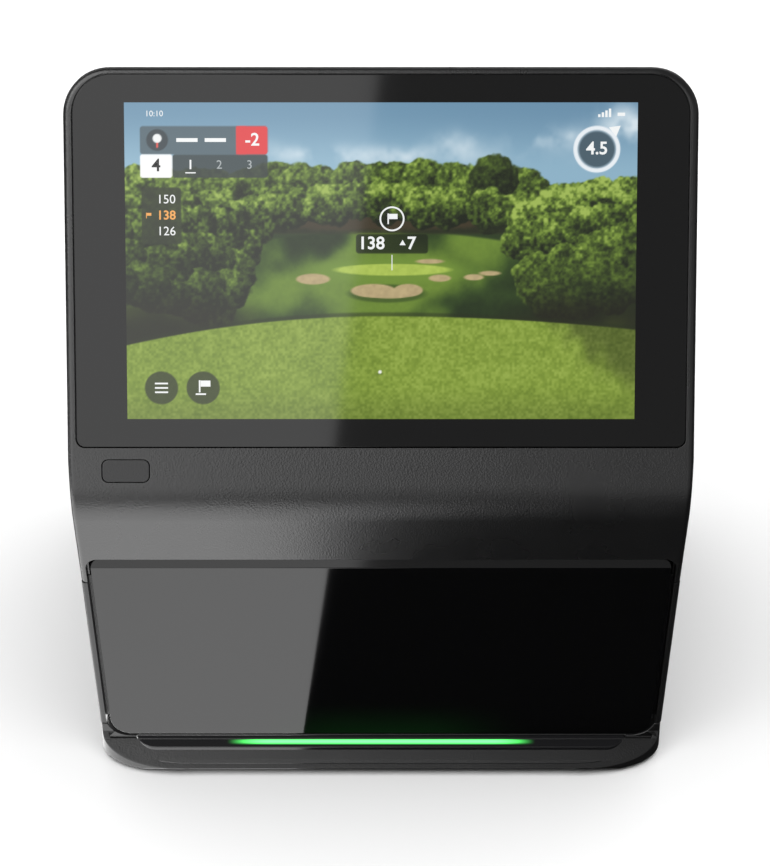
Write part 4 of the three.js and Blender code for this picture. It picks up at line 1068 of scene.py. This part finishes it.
COVER_LEFT, COVER_RIGHT = -0.1096, -0.0504
cover = block("socket_flap", (COVER_LEFT, 0.0872, 0.0406), (COVER_RIGHT, 0.0897, PIN_Z))
round_edges(cover, lambda e: abs(direction(e).y) > 0.99 and e.verts[0].co.z < 0.05, 0.0016, 5)
weld(cover, rod("barrel", 0.0026, (COVER_LEFT, PIN_Y, PIN_Z), (COVER_RIGHT, PIN_Y, PIN_Z), "x", 40),
     block("lip", (-0.088, 0.0855, 0.0426), (-0.072, 0.0874, 0.0442)))
carve(cover, rod("pin_bore", 0.00135, (-0.12, PIN_Y, PIN_Z), (-0.04, PIN_Y, PIN_Z), "x", 24))
scoop = block("scoop", (-0.090, 0.0890, 0.0418), (-0.070, 0.0920, 0.0458))
round_edges(scoop, lambda e: abs(direction(e).y) > 0.99, 0.0018, 5)
carve(cover, scoop)
soften(cover, 0.0003)
cover_rubber = finish_material("cover_rubber", (0.019, 0.019, 0.020), 0.75,
                               drift=0.15, grain=0.0006, depth=0.00004)
dress(cover, cover_rubber, ["port_cover"], "port_cover")

# ---- Pieces kept as the frame has them ---------------------------------------------------------
# Sockets, screws, boards, cameras, battery and fan keep their shape from the frame. Each gets
# the finish of what it is made of.


def plated_metal(name, color, roughness):
    return finish_material(name, color, roughness, metallic=1.0, drift=0.08, grain=0.0004, depth=0.000004)


def board_lacquer(name):
    """Green lacquer over copper tracks that run square to each other."""
    material = finish_material(name, (0.02, 0.12, 0.05), 0.35, drift=0.1)
    tree = material.node_tree
    place = tree.nodes.new("ShaderNodeTexCoord").outputs["Object"]
    tracks = tree.nodes.new("ShaderNodeTexBrick")
    tracks.inputs["Scale"].default_value = 220
    tracks.inputs["Color1"].default_value = (0.015, 0.10, 0.045, 1)
    tracks.inputs["Color2"].default_value = (0.02, 0.13, 0.055, 1)
    tracks.inputs["Mortar"].default_value = (0.05, 0.22, 0.10, 1)
    tracks.inputs["Mortar Size"].default_value = 0.03
    wire(tree, place, tracks.inputs["Vector"])
    wire(tree, tracks.outputs["Color"], tree.nodes["Principled BSDF"].inputs["Base Color"])
    return material


steel_plate = plated_metal("steel_plate", (0.56, 0.56, 0.57), 0.32)
aluminium_plate = plated_metal("aluminium_plate", (0.72, 0.73, 0.74), 0.40)
brass_plate = plated_metal("brass_plate", (0.78, 0.56, 0.24), 0.30)
module_plastic = finish_material("module_plastic", (0.022, 0.022, 0.023), 0.55, grain=0.0007, depth=0.00003)
seal_rubber = finish_material("seal_rubber", (0.015, 0.015, 0.016), 0.85,
                              drift=0.2, grain=0.0005, depth=0.00005)
lens_coating = gloss_material("lens_coating", (0.010, 0.008, 0.022), 0.05)
battery_wrap = finish_material("battery_wrap", (0.03, 0.09, 0.22), 0.35,
                               drift=0.15, grain=0.0015, depth=0.00002)
ribbon_film = finish_material("ribbon_film", (0.45, 0.20, 0.05), 0.30, drift=0.2)
panel_back = finish_material("panel_back", (0.30, 0.31, 0.32), 0.35, metallic=0.6, drift=0.1)
green_board = board_lacquer("green_board")
FINISHES = {
    "steel": steel_plate, "aluminium": aluminium_plate, "brass": brass_plate, "board": green_board,
    "module": module_plastic, "rubber": seal_rubber, "lens": lens_coating, "battery": battery_wrap,
    "ribbon": ribbon_film, "display": panel_back,
}
slots = {part["node"]: part["material_slot"] for part in frame["record"]["subparts"]}
for name, node in frame["nodes"].items():
    if slots.get(name) in FINISHES:
        node.data.materials.clear()
        node.data.materials.append(FINISHES[slots[name]])
